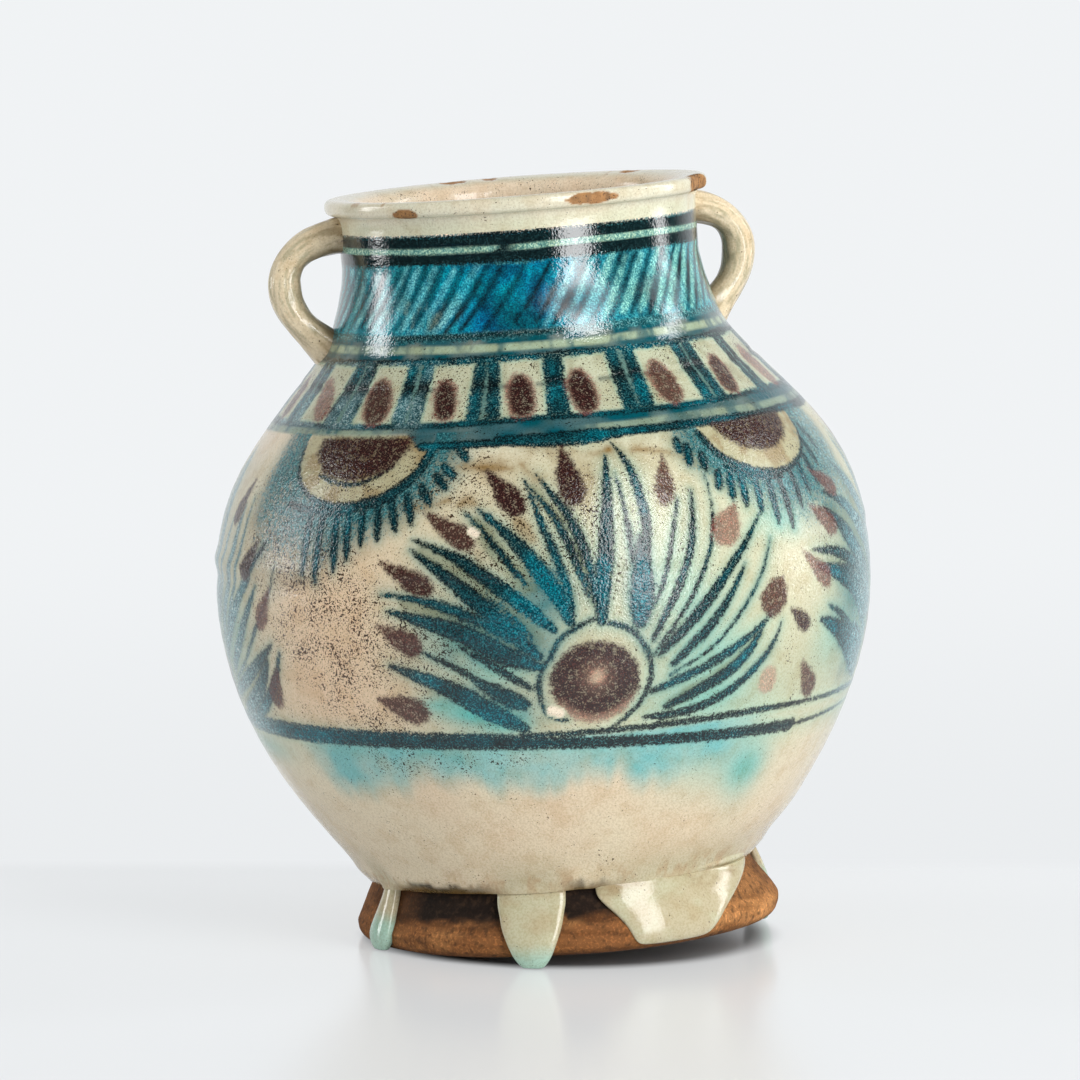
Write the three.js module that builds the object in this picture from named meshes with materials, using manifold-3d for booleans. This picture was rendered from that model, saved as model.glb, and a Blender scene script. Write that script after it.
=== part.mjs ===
// A leaning two-handled earthenware urn, built as a potter builds it: a thrown lower bowl, a thrown
// shoulder, a neck, a coil lip, two coil handles and a foot ring, luted together with slip, and the
// thick runs of glaze that cooled on the foot and that the urn now stands on.
// The urn is modelled upright about its own axis, in millimetres, and then leaned as one group.
// Azimuths are in degrees, from the front (-Y) towards the right (+X).
import * as THREE from "three";
import { ParametricGeometry } from "three/addons/geometries/ParametricGeometry.js";
import { mergeVertices } from "three/addons/utils/BufferGeometryUtils.js";
import Module from "manifold-3d";

const wasm = await Module();
wasm.setup();

// How the urn stands
const leanLeft = 4.25; // degrees, the axis falls to the left
const leanBack = 1.0; // degrees, and a little away from the front
const footSkewRight = 0.6; // degrees, the foot was trimmed out of square, deeper on the right
const footSkewFront = 1.0; // degrees, and deeper at the front
const footWear = 0.4; // the low edge of the foot is worn flat to this depth
const runWear = 0.9; // the tips of the glaze runs are flat to this depth

// Foot ring
const footHeight = 15.5;
const footTopRadius = 49.3;
const footFlareRadius = 54.1;
const footFlareHeight = 4.6;
const footBaseRadius = 50.4;
const footBoreRadius = 40.0;
const footBoreDraft = 1.2;

// Wall of the bowl and shoulder
const wallThickness = 6.0;
const floorThickness = 8.0;
const floorCornerRise = 12.0; // the rounded inner corner climbs this far up the wall
const floorCornerRun = 24.0; // and reaches this far over the floor
const waistRadius = 50.6;
const waistSlope = 33.0; // degrees from upright, where the wall leaves the foot
const waistPull = 15.8;
const bellyRise = 74.0; // foot to widest girth
const bellyRadius = 83.8;
const bellyPullDown = 34.7;
const bellyPullUp = 33.8;
const seamRise = 9.0; // widest girth to the seam between bowl and shoulder
const seamTongue = 1.6;
const shoulderRise = 61.2; // widest girth to the root of the neck
const shoulderPull = 24.3;
const neckRootRadius = 52.1;
const neckRootSlope = 36.8; // degrees from upright
const neckSeatDrop = 2.0; // the seat of the neck falls inwards

// Neck and lip
const neckRise = 30.8; // root of the neck to the seat of the lip
const neckRadius = 45.7;
const neckTaperRise = 21.3; // root of the neck to where it stops narrowing
const neckRootPull = 5.0;
const neckTaperPull = 4.0;
const lipHeight = 8.5;
const lipRadius = 48.9;
const lipBand = 4.0; // upright outer face of the lip
const lipRound = 1.9;
const lipInnerDrop = 5.0; // the lip slopes down to the mouth over this height

// Chips in the lip: azimuth and arc along it in degrees; height, depth and rise above its seat as
// shares of the lip's height
const lipChips = [
  { azimuth: -35, arc: 8.7, height: 0.31, depth: 0.13, rise: 0.58 },
  { azimuth: 24, arc: 17.0, height: 0.35, depth: 0.14, rise: 0.71 },
  { azimuth: 77, arc: 23.4, height: 0.71, depth: 0.235, rise: 0.78 },
];

// Coil handles
const leftHandleAzimuth = -83;
const rightHandleAzimuth = 112;
const handleSpringDrop = 0.4; // lip's seat down to the middle of the coil where it springs
const handleReach = 15.0; // middle of the coil beyond the neck
const handleReachDrop = 12.2; // lip's seat down to the outermost point
const handleLandRise = -0.6; // root of the neck up to the middle of the coil's lower end
const handleSpringSink = 1.5; // how far inside the wall's face the coil's path starts
const handleLandSink = 4.0; // how far inside the wall's face the coil's path ends
const handleThickness = 8.0;
const handleWidth = 8.4;
const handleFlare = 0.22; // how much wider the pressed ends are
const handleFlarePower = 5; // how close to the ends the spread stays
const handleTopPull = 13.0;
const handleReachPull = 5.6;
const handleFallPull = 8.0;
const handleLandPull = 11.0;
const handleLandSlope = 47.0; // degrees from level

// Runs of glaze on the foot. One with no shelf hangs to what the urn stands on.
const glazeTopRise = 2.6; // runs start this far above the foot
const glazeTopRound = 0.15; // share of a run's length that its top rounds off over
const glazeTipRound = 0.3; // and its tip
const glazeRuns = {
  left_glaze_run: { azimuth: -60, drift: -2, topHalf: 4.6, tipHalf: 4.2, sheet: 1.7, bead: 2.6 },
  front_glaze_run: { azimuth: -10, drift: 0, topHalf: 8.8, tipHalf: 5.6, sheet: 2.0, bead: 3.4 },
  right_glaze_run: { azimuth: 114, drift: 1, topHalf: 6.0, tipHalf: 4.6, sheet: 1.7, bead: 3.0 },
  glaze_apron: { azimuth: 36, drift: -7, topHalf: 25, tipHalf: 10, sheet: 1.7, bead: 2.2, shelf: 1.0 },
};

// Joints and faceting
const slipGap = 0.3; // clearance left for slip between luted pieces
const aroundSegments = 60;
const bowlSteps = 13;
const bowlInnerSteps = 8;
const shoulderSteps = 12;
const shoulderInnerSteps = 9;
const neckSteps = 7;
const neckInnerSteps = 6;
const grownSteps = 36;
const roundSteps = 4;
const lipSteps = 3;
const chipSides = 14;
const chipStacks = 8;
const coilSides = 14;
const coilStacks = 22;
const tongueSides = 14;
const tongueStacks = 16;
const halvings = 40;
const mergeTolerance = 1e-4;

// Heights along the axis, from the foot's underside
const bellyHeight = footHeight + bellyRise;
const seamHeight = bellyHeight + seamRise;
const neckRootHeight = bellyHeight + shoulderRise;
const lipSeat = neckRootHeight + neckRise;
const lipTop = lipSeat + lipHeight;

const radians = THREE.MathUtils.degToRad;
const spot = (radius, height) => new THREE.Vector2(radius, height);

// A point on the urn from its azimuth, radius and height
function around(azimuth, radius, height, target = new THREE.Vector3()) {
  const turn = radians(azimuth);
  return target.set(radius * Math.sin(turn), -radius * Math.cos(turn), height);
}

// The outer wall, as three curves in radius and height
const lowerCurve = new THREE.CubicBezierCurve(
  spot(waistRadius, footHeight),
  spot(
    waistRadius + waistPull * Math.sin(radians(waistSlope)),
    footHeight + waistPull * Math.cos(radians(waistSlope)),
  ),
  spot(bellyRadius, bellyHeight - bellyPullDown),
  spot(bellyRadius, bellyHeight),
);
const rootRun = spot(-Math.sin(radians(neckRootSlope)), Math.cos(radians(neckRootSlope)));
const neckRoot = spot(neckRootRadius, neckRootHeight);
const upperCurve = new THREE.CubicBezierCurve(
  spot(bellyRadius, bellyHeight),
  spot(bellyRadius, bellyHeight + bellyPullUp),
  neckRoot.clone().addScaledVector(rootRun, -shoulderPull),
  neckRoot,
);
const neckCurve = new THREE.CubicBezierCurve(
  neckRoot,
  neckRoot.clone().addScaledVector(rootRun, neckRootPull),
  spot(neckRadius, neckRootHeight + neckTaperRise - neckTaperPull),
  spot(neckRadius, neckRootHeight + neckTaperRise),
);

// Radius of a curve that only rises, at a height, by halving
function radiusOnCurve(curve, height) {
  let low = 0;
  let high = 1;
  for (let step = 0; step < halvings; step += 1) {
    const middle = (low + high) / 2;
    if (curve.getPoint(middle).y < height) {
      low = middle;
    } else {
      high = middle;
    }
  }
  return curve.getPoint(low).x;
}

function wallRadius(height) {
  if (height >= neckRootHeight) {
    return radiusOnCurve(neckCurve, height);
  }
  return radiusOnCurve(height >= bellyHeight ? upperCurve : lowerCurve, height);
}

// Points of the wall between two heights, moved in or out by an offset
function wallPoints(from, to, steps, offset) {
  const points = [];
  for (let step = 0; step <= steps; step += 1) {
    const height = from + ((to - from) * step) / steps;
    points.push(spot(wallRadius(height) + offset, height));
  }
  return points;
}

// Solids for joining and cutting
function solidOf(geometry) {
  const bare = geometry.clone();
  bare.deleteAttribute("normal");
  bare.deleteAttribute("uv");
  const merged = mergeVertices(bare, mergeTolerance);
  const corners = merged.index.array;
  const triVerts = [];
  for (let first = 0; first < corners.length; first += 3) {
    const [a, b, c] = corners.slice(first, first + 3);
    if (a !== b && b !== c && c !== a) {
      triVerts.push(a, b, c);
    }
  }
  const vertProperties = merged.attributes.position.array;
  const mesh = new wasm.Mesh({ numProp: 3, vertProperties, triVerts: new Uint32Array(triVerts) });
  return new wasm.Manifold(mesh);
}

function geometryOf(solid) {
  const { vertProperties, triVerts } = solid.getMesh();
  const geometry = new THREE.BufferGeometry();
  geometry.setAttribute("position", new THREE.BufferAttribute(new Float32Array(vertProperties), 3));
  geometry.setIndex(new THREE.BufferAttribute(new Uint32Array(triVerts), 1));
  geometry.computeVertexNormals();
  return geometry;
}

// An outline in radius and height, turned about the urn's axis with azimuth 0 at the front
function revolve(outline) {
  return new THREE.LatheGeometry(outline, aroundSegments).rotateX(Math.PI / 2);
}

const closed = (outline) => [...outline, outline[0]];

// The foot's outside from its underside up, grown by a clearance
function footFlank(grow) {
  const round = new THREE.QuadraticBezierCurve(
    spot(footBaseRadius, -grow),
    spot(footFlareRadius + grow, -grow),
    spot(footFlareRadius + grow, footFlareHeight),
  );
  return [...round.getPoints(roundSteps), spot(footTopRadius + grow, footHeight - slipGap + grow)];
}

// How much lower than true the trimmed underside of the foot is, at a point of it
function undersideDrop(x, y) {
  return x * Math.tan(radians(footSkewRight)) - y * Math.tan(radians(footSkewFront));
}

// The foot was trimmed out of square: its underside slopes and its top stays true
function skewFoot(geometry) {
  const position = geometry.attributes.position;
  for (let vertex = 0; vertex < position.count; vertex += 1) {
    const height = position.getZ(vertex);
    const share = Math.max(0, 1 - height / footHeight);
    const drop = undersideDrop(position.getX(vertex), position.getY(vertex));
    position.setZ(vertex, height - drop * share);
  }
  return geometry;
}

// The lip's outside, from its seat up over the top and down to the mouth, grown by a clearance
function lipOutline(grow) {
  const mouthRadius = neckRadius - wallThickness;
  const bandRadius = lipRadius + grow;
  const turnRadius = lipRadius - lipRound;
  const bandFoot = lipTop - lipBand - grow;
  const crown = lipTop + grow;
  const edge = new THREE.Path();
  edge.moveTo(neckRadius + grow, lipSeat + slipGap);
  edge.quadraticCurveTo(neckRadius + grow, bandFoot, turnRadius, bandFoot);
  edge.quadraticCurveTo(bandRadius, bandFoot, bandRadius, lipTop - lipBand + lipRound);
  edge.lineTo(bandRadius, lipTop - lipRound);
  edge.quadraticCurveTo(bandRadius, crown, turnRadius, crown);
  edge.quadraticCurveTo(mouthRadius, crown, mouthRadius, lipTop - lipInnerDrop);
  return edge.getPoints(lipSteps);
}

// The urn's group: leaned, and set down so that the low edge of its foot is worn flat
const urn = new THREE.Group();
urn.rotation.set(-radians(leanBack), -radians(leanLeft), 0);
const leaned = new THREE.Matrix4().makeRotationFromEuler(urn.rotation).elements;
const [riseAlongX, riseAlongY, riseAlongAxis] = [leaned[2], leaned[6], leaned[10]];
const undersideRiseX = riseAlongX - undersideDrop(1, 0) * riseAlongAxis;
const undersideRiseY = riseAlongY - undersideDrop(0, 1) * riseAlongAxis;
const standingLift = footBaseRadius * Math.hypot(undersideRiseX, undersideRiseY) - footWear;
const axis = new THREE.Vector3(0, 0, 1).applyEuler(urn.rotation);
urn.position.set(-bellyHeight * axis.x, -bellyHeight * axis.y, standingLift);
urn.updateMatrix();

// Height in the urn's own frame of the surface it stands on, under a point of the foot
function standingHeight(azimuth, radius) {
  const under = around(azimuth, radius, 0);
  return -(standingLift + under.x * riseAlongX + under.y * riseAlongY) / riseAlongAxis;
}

// A block filling everything under the surface that the urn stands on
const blockSize = 4 * bellyRadius;
const standingBlock = new THREE.BoxGeometry(blockSize, blockSize, blockSize);
standingBlock.translate(0, 0, -blockSize / 2);
standingBlock.applyMatrix4(urn.matrix.clone().invert());
const underTheUrn = solidOf(standingBlock);

// Everything that handles and glaze runs are pressed against, grown by the slip clearance
const grownFoot = revolve([spot(0, -slipGap), ...footFlank(slipGap), spot(0, footHeight)]);
const grownBody = revolve([
  spot(0, footHeight - slipGap),
  spot(waistRadius + slipGap, footHeight - slipGap),
  ...wallPoints(footHeight, lipSeat, grownSteps, slipGap),
  ...lipOutline(slipGap),
  spot(0, lipTop),
]);
const grownUrn = solidOf(skewFoot(grownFoot)).add(solidOf(grownBody));

function makeFootRing() {
  const ring = [
    spot(footBoreRadius - footBoreDraft, footHeight - slipGap),
    spot(footBoreRadius, 0),
    ...footFlank(0),
  ];
  return solidOf(skewFoot(revolve(closed(ring)))).subtract(underTheUrn);
}

// The bowl's rim carries a tongue that the shoulder's groove sits over
function makeLowerBowl() {
  const floorTop = footHeight + floorThickness;
  const cornerTop = floorTop + floorCornerRise;
  const cornerRadius = wallRadius(cornerTop) - wallThickness;
  const corner = new THREE.QuadraticBezierCurve(
    spot(cornerRadius, cornerTop),
    spot(wallRadius(floorTop) - wallThickness, floorTop),
    spot(cornerRadius - floorCornerRun, floorTop),
  );
  return solidOf(
    revolve([
      spot(0, footHeight),
      ...wallPoints(footHeight, seamHeight, bowlSteps, 0),
      spot(wallRadius(seamHeight) - wallThickness / 2, seamHeight + seamTongue),
      ...wallPoints(seamHeight, cornerTop, bowlInnerSteps, -wallThickness),
      ...corner.getPoints(roundSteps).slice(1),
      spot(0, floorTop),
    ]),
  );
}

function makeShoulder() {
  const bottom = seamHeight + slipGap;
  return solidOf(
    revolve(
      closed([
        ...wallPoints(bottom, neckRootHeight, shoulderSteps, 0),
        ...wallPoints(neckRootHeight - neckSeatDrop, bottom, shoulderInnerSteps, -wallThickness),
        spot(wallRadius(seamHeight) - wallThickness / 2, bottom + seamTongue),
      ]),
    ),
  );
}

function makeNeck() {
  const bottom = neckRootHeight + slipGap;
  return solidOf(
    revolve(
      closed([
        ...wallPoints(bottom, lipSeat, neckSteps, 0),
        ...wallPoints(lipSeat, bottom - neckSeatDrop, neckInnerSteps, -wallThickness),
      ]),
    ),
  );
}

// A chip is a shallow flake out of the lip's outer face
function makeChip({ azimuth, arc, height, depth, rise }) {
  const flake = new THREE.SphereGeometry(1, chipSides, chipStacks);
  flake.scale((radians(arc) * lipRadius) / 2, depth * lipHeight, (height * lipHeight) / 2);
  flake.rotateZ(radians(azimuth));
  const { x, y, z } = around(azimuth, lipRadius, lipSeat + rise * lipHeight);
  flake.translate(x, y, z);
  return solidOf(flake);
}

function makeRim() {
  const ring = [...lipOutline(0), spot(neckRadius - wallThickness, lipSeat + slipGap)];
  const whole = solidOf(revolve(closed(ring)));
  return lipChips.reduce((rim, chip) => rim.subtract(makeChip(chip)), whole);
}

// A coil carried along a path in the upright plane of its azimuth, with both ends spread where they
// were pressed on, and then cut to the shape of the wall and lip that it is luted to
function makeHandle(azimuth) {
  const springHeight = lipSeat - handleSpringDrop;
  const reachRadius = neckRadius + handleReach;
  const reachHeight = lipSeat - handleReachDrop;
  const landHeight = neckRootHeight + handleLandRise;
  const landRadius = wallRadius(landHeight) - handleLandSink;
  const landRun = spot(Math.cos(radians(handleLandSlope)), Math.sin(radians(handleLandSlope)));
  const path = new THREE.CurvePath();
  path.add(
    new THREE.CubicBezierCurve(
      spot(neckRadius - handleSpringSink, springHeight),
      spot(neckRadius - handleSpringSink + handleTopPull, springHeight),
      spot(reachRadius, reachHeight + handleReachPull),
      spot(reachRadius, reachHeight),
    ),
  );
  path.add(
    new THREE.CubicBezierCurve(
      spot(reachRadius, reachHeight),
      spot(reachRadius, reachHeight - handleFallPull),
      spot(landRadius, landHeight).addScaledVector(landRun, handleLandPull),
      spot(landRadius, landHeight),
    ),
  );
  const surface = (u, v, target) => {
    const ring = Math.round(v * coilStacks);
    const station = THREE.MathUtils.clamp((ring - 1) / (coilStacks - 2), 0, 1);
    const cap = ring === 0 || ring === coilStacks ? 0 : 1;
    const middle = path.getPoint(station);
    const run = path.getTangent(station);
    const spread = cap * (1 + handleFlare * Math.abs(2 * station - 1) ** handleFlarePower);
    const across = (spread * handleThickness * Math.cos(2 * Math.PI * u)) / 2;
    const aside = (spread * handleWidth * Math.sin(2 * Math.PI * u)) / 2;
    around(azimuth, middle.x + across * run.y, middle.y - across * run.x, target);
    target.x += aside * Math.cos(radians(azimuth));
    target.y += aside * Math.sin(radians(azimuth));
  };
  return solidOf(new ParametricGeometry(surface, coilSides, coilStacks)).subtract(grownUrn);
}

// The way down that a run of glaze takes, in radius and height: off the wall, over the foot's top
// and flank to its flare, and then straight down
function glazePath(azimuth, tip) {
  const top = footHeight + glazeTopRise;
  const under = around(azimuth, footFlareRadius, 0);
  const flareDrop = undersideDrop(under.x, under.y) * (1 - footFlareHeight / footHeight);
  return new THREE.SplineCurve([
    spot(wallRadius(top), top),
    spot(Math.max(waistRadius, footTopRadius), footHeight),
    spot(footFlareRadius, footFlareHeight - flareDrop),
    spot(footFlareRadius, tip),
  ]);
}

// A tongue of glaze, lens-shaped in section, that thickens to a bead at its tip
function makeGlazeRun({ azimuth, drift, topHalf, tipHalf, sheet, bead, shelf }) {
  const tip = shelf ?? standingHeight(azimuth + drift, footFlareRadius) - runWear;
  const path = glazePath(azimuth + drift / 2, tip);
  const surface = (u, v, target) => {
    const intoTop = Math.max(0, 1 - v / glazeTopRound);
    const intoTip = Math.max(0, (v - 1 + glazeTipRound) / glazeTipRound);
    const ends = Math.sqrt(Math.max(0, 1 - intoTop ** 2)) * Math.sqrt(Math.max(0, 1 - intoTip ** 2));
    const middle = path.getPointAt(v);
    const run = path.getTangentAt(v);
    const half = ends * THREE.MathUtils.lerp(topHalf, tipHalf, v);
    const thick = ends * THREE.MathUtils.lerp(sheet, bead, v ** 2);
    const out = thick * Math.sin(2 * Math.PI * u);
    const aside = THREE.MathUtils.radToDeg((half * Math.cos(2 * Math.PI * u)) / middle.x);
    around(azimuth + drift * v + aside, middle.x - out * run.y, middle.y + out * run.x, target);
  };
  const tongue = solidOf(new ParametricGeometry(surface, tongueSides, tongueStacks));
  return tongue.subtract(grownUrn).subtract(underTheUrn);
}

// Finishes
const glazedCream = { color: 0xd3ccbd, roughness: 0.22, metalness: 0 };
const paintedCream = { color: 0xb9b8b4, roughness: 0.2, metalness: 0 };
const blueBand = { color: 0x5f8d9c, roughness: 0.18, metalness: 0 };
const paleGlaze = { color: 0xc9d2cb, roughness: 0.2, metalness: 0 };
const pooledGlaze = { color: 0xa9c9bd, roughness: 0.12, metalness: 0 };
const brownClay = { color: 0x7c4f31, roughness: 0.8, metalness: 0 };

function addPiece(name, solid, finish) {
  const piece = new THREE.Mesh(geometryOf(solid), new THREE.MeshStandardMaterial(finish));
  piece.name = name;
  urn.add(piece);
}

addPiece("foot_ring", makeFootRing(), brownClay);
addPiece("lower_bowl", makeLowerBowl(), glazedCream);
addPiece("shoulder", makeShoulder(), paintedCream);
addPiece("neck", makeNeck(), blueBand);
addPiece("rim", makeRim(), glazedCream);
addPiece("left_handle", makeHandle(leftHandleAzimuth), paleGlaze);
addPiece("right_handle", makeHandle(rightHandleAzimuth), paleGlaze);
for (const [name, run] of Object.entries(glazeRuns)) {
  addPiece(name, makeGlazeRun(run), pooledGlaze);
}

const part = new THREE.Group();
part.add(urn);

export default part;
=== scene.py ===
import math
import bpy
import numpy as np
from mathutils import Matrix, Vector


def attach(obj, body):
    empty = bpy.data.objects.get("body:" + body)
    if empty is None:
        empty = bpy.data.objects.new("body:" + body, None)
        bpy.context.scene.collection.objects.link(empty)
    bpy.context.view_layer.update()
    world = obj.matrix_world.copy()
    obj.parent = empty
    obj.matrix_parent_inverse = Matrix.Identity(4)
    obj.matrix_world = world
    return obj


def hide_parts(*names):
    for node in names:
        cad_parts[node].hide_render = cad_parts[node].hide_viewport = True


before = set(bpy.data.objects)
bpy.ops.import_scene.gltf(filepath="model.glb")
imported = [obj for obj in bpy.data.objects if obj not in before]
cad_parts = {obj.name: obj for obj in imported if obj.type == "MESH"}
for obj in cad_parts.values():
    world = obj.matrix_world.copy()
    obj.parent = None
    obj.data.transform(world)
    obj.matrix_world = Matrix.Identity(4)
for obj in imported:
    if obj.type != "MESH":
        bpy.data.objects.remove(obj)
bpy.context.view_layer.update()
print("frame loaded with", len(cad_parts), "nodes")

# How the urn stands, in degrees and mm: it leans left and a little back on a foot trimmed out of square
stance = {"leanLeft": 4.25, "leanBack": 1.0, "skewRight": 0.6, "skewFront": 1.0, "wear": 0.4}

# The thrown body in mm, heights along its own axis from the underside of the foot
body = {
    "footHeight": 15.5, "footTop": 49.3, "flare": 54.1, "flareHeight": 4.6, "base": 50.4, "bore": 40.0,
    "boreDraft": 1.2, "wall": 6.0, "floorTop": 23.5, "cornerTop": 35.5, "cornerRun": 24.0, "waist": 50.6,
    "waistSlope": 33.0, "waistPull": 15.8, "bellyHeight": 89.5, "belly": 83.8, "bellyPullDown": 34.7,
    "bellyPullUp": 33.8, "seam": 98.5, "tongue": 1.6, "rootHeight": 150.7, "root": 52.1, "rootSlope": 36.8,
    "shoulderPull": 24.3, "rootPull": 5.0, "neck": 45.7, "taperTop": 172.0, "taperPull": 4.0, "seatDrop": 2.0,
    "lipSeat": 181.5, "lipTop": 190.0, "lip": 48.9, "lipBand": 4.0, "lipRound": 1.9, "lipInnerDrop": 5.0,
    "slip": 0.3, "curveSteps": 300, "taperSteps": 200,
}


def bezier(corners, count):
    # corners weighted by the Bernstein polynomials of t from 0 to 1
    t = np.linspace(0, 1, count)[:, None]
    order = len(corners) - 1
    weights = [math.comb(order, k) * t ** k * (1 - t) ** (order - k) for k in range(order + 1)]
    return sum(weight * np.array(corner, float) for weight, corner in zip(weights, corners))


def lengths(path):
    # distance along a path at each of its points
    return np.concatenate([[0], np.cumsum(np.hypot(*np.diff(path, axis=0).T))])


def wallTable():
    # three cubic curves in (radius, height): waist to belly, belly to neck root, neck root to lip seat
    slope, tilt = math.radians(body["waistSlope"]), math.radians(body["rootSlope"])
    rise = body["waistPull"] * np.array([math.sin(slope), math.cos(slope)])
    run = np.array([-math.sin(tilt), math.cos(tilt)])
    waist = np.array([body["waist"], body["footHeight"]])
    belly = np.array([body["belly"], body["bellyHeight"]])
    root = np.array([body["root"], body["rootHeight"]])
    taper = np.array([body["neck"], body["taperTop"]])
    low = [waist, waist + rise, belly - [0, body["bellyPullDown"]], belly]
    high = [belly, belly + [0, body["bellyPullUp"]], root - body["shoulderPull"] * run, root]
    top = [root, root + body["rootPull"] * run, taper - [0, body["taperPull"]], taper]
    curves = [bezier(low, body["curveSteps"]), bezier(high, body["curveSteps"])[1:]]
    return np.concatenate(curves + [bezier(top, body["taperSteps"])[1:], [[body["neck"], body["lipSeat"]]]])


wallCurve = wallTable()
wallArc = lengths(wallCurve)


def wallRadius(height):
    # radius of the wall's outside at a height, straight lines between the table's points
    return np.interp(height, wallCurve[:, 1], wallCurve[:, 0])


def wallLength(height):
    # distance along the wall's outside, from the waist up to a height
    return np.interp(height, wallCurve[:, 1], wallArc)


def wallLevels(low, high, spacing):
    # heights spaced evenly along the wall's curve
    start, end = wallLength(low), wallLength(high)
    steps = int(round((end - start) / spacing))
    return np.interp(np.linspace(start, end, steps + 1), wallArc, wallCurve[:, 1])


def leanMatrix():
    # a turn about X by the lean back, times a turn about Y by the lean left
    back, left = -math.radians(stance["leanBack"]), -math.radians(stance["leanLeft"])
    turnBack = [[1, 0, 0], [0, math.cos(back), -math.sin(back)], [0, math.sin(back), math.cos(back)]]
    turnLeft = [[math.cos(left), 0, math.sin(left)], [0, 1, 0], [-math.sin(left), 0, math.cos(left)]]
    return np.array(turnBack) @ np.array(turnLeft)


lean = leanMatrix()
skewX, skewY = math.tan(math.radians(stance["skewRight"])), math.tan(math.radians(stance["skewFront"]))
tiltX, tiltY = lean[2, 0] - skewX * lean[2, 2], lean[2, 1] + skewY * lean[2, 2]
lift = body["base"] * math.hypot(tiltX, tiltY) - stance["wear"]
standAt = np.array([-body["bellyHeight"] * lean[0, 2], -body["bellyHeight"] * lean[1, 2], lift])


def place(azimuth, radius, height):
    # (radius sin azimuth, -radius cos azimuth, height) in mm, leaned, set down and given in metres
    turn = np.radians(azimuth)
    upright = np.stack([radius * np.sin(turn), -radius * np.cos(turn), height + 0 * turn], -1)
    spots = (upright @ lean.T + standAt) / 1000
    spots[..., 2] = np.maximum(spots[..., 2], 0)
    return spots


def footDrop(azimuth, radius, height):
    # the underside of the foot falls by the skew, fading out at the foot's top
    turn = np.radians(azimuth)
    drop = radius * np.sin(turn) * skewX + radius * np.cos(turn) * skewY
    return drop * np.clip(1 - height / body["footHeight"], 0, 1.2)


def ease(value, low, high):
    # smooth step from 0 at low to 1 at high
    t = np.clip((value - low) / (high - low), 0, 1)
    return t * t * (3 - 2 * t)


def hump(value, middle, spread):
    # bell curve, 1 in the middle
    return np.exp(-((value - middle) / spread) ** 2)


def wrapTurn(delta):
    # degrees brought to the half turn either side of 0
    return (delta + 180) % 360 - 180


# Lattice of the noise in mm: the radius it is wound on, its height, and how far below the foot it starts
noiseGrid = {"radius": 72, "tall": 240, "below": 20, "octaves": [(1, 0.55), (2.1, 0.3), (4.3, 0.15)]}


def softNoise(azimuth, height, size, seed):
    # random lattice round the urn, cells about size mm, joined by smooth steps; 0 to 1
    around = max(4, int(round(360 / math.degrees(size / noiseGrid["radius"]))))
    levels = int(noiseGrid["tall"] / size) + 4
    lattice = np.random.default_rng(seed).random((levels, around))
    across, up = (azimuth % 360) / 360 * around, (height + noiseGrid["below"]) / size
    col, row = np.floor(across).astype(int), np.clip(np.floor(up).astype(int), 0, levels - 2)
    fx, fy = ease(across - col, 0, 1), ease(up - row, 0, 1)
    near, far = col % around, (col + 1) % around
    low = lattice[row, near] * (1 - fx) + lattice[row, far] * fx
    high = lattice[row + 1, near] * (1 - fx) + lattice[row + 1, far] * fx
    return low * (1 - fy) + high * fy


def mottle(azimuth, height, size, seed):
    # octaves of the soft noise, each finer and weaker
    steps = enumerate(noiseGrid["octaves"])
    return sum(weight * softNoise(azimuth, height, size / finer, seed + k) for k, (finer, weight) in steps)


def blotches(at, size, seed, low, high):
    # smooth step of the mottle at points with an azimuth and a height
    return ease(mottle(at["azimuth"], at["height"], size, seed), low, high)


def clouds(at, size, seed, least, gain, noise=softNoise):
    # least plus gain times the noise
    return least + gain * noise(at["azimuth"], at["height"], size, seed)


def ragged(at, size, seed, gain):
    # mottle either side of 0
    return gain * (mottle(at["azimuth"], at["height"], size, seed) - 0.5)


def zone(at, share=1.0, around=None, level=None, above=None, below=None, after=None, before=None):
    # a share times a bell round an azimuth, a bell round a level, and steps at heights and at azimuths
    turn, high = wrapTurn(at["azimuth"]), at["height"]
    if around:
        share = share * hump(wrapTurn(turn - around[0]), 0, around[1])
    if level:
        share = share * hump(high, *level)
    for value, bounds in ((high, above), (turn, after)):
        share = share * ease(value, *bounds) if bounds else share
    for value, bounds in ((high, below), (turn, before)):
        share = share * (1 - ease(value, *bounds)) if bounds else share
    return share


def spot(at, row, turn=0.0):
    # an oval patch from a row of azimuth, height, spread round, spread up and amount
    azimuth, height, wide, tall, amount = row
    return zone(at, amount, around=(azimuth + turn, wide), level=(height, tall))


# Hand-made unevenness of the wall, in mm; runs of glaze as azimuth and half width in degrees
unevenness = {
    "dents": 0.5, "rings": 0.025, "ringPitch": 5.3, "seamRidge": 0.6, "groove": 0.45, "grooveHeight": 143.6,
    "roll": 0.9, "rollAt": (18.4, 2.3), "nip": 2.4, "nipAt": (85, 45), "cove": 1.8, "coveTop": 20.5,
    "coveTall": 5.0, "runs": [(-60, 5), (-10, 10), (38, 27), (114, 8)],
    "fuller": [(-95, 46, 48, 20, 0.8), (-85, 143, 34, 11, 0.8)],
}


def glazeFlow(azimuth):
    # 1 where a run of glaze leaves the wall, falling off to its sides
    runs = [np.exp(-(wrapTurn(azimuth - middle) / half) ** 4) for middle, half in unevenness["runs"]]
    return np.max(runs, axis=0)


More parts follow.
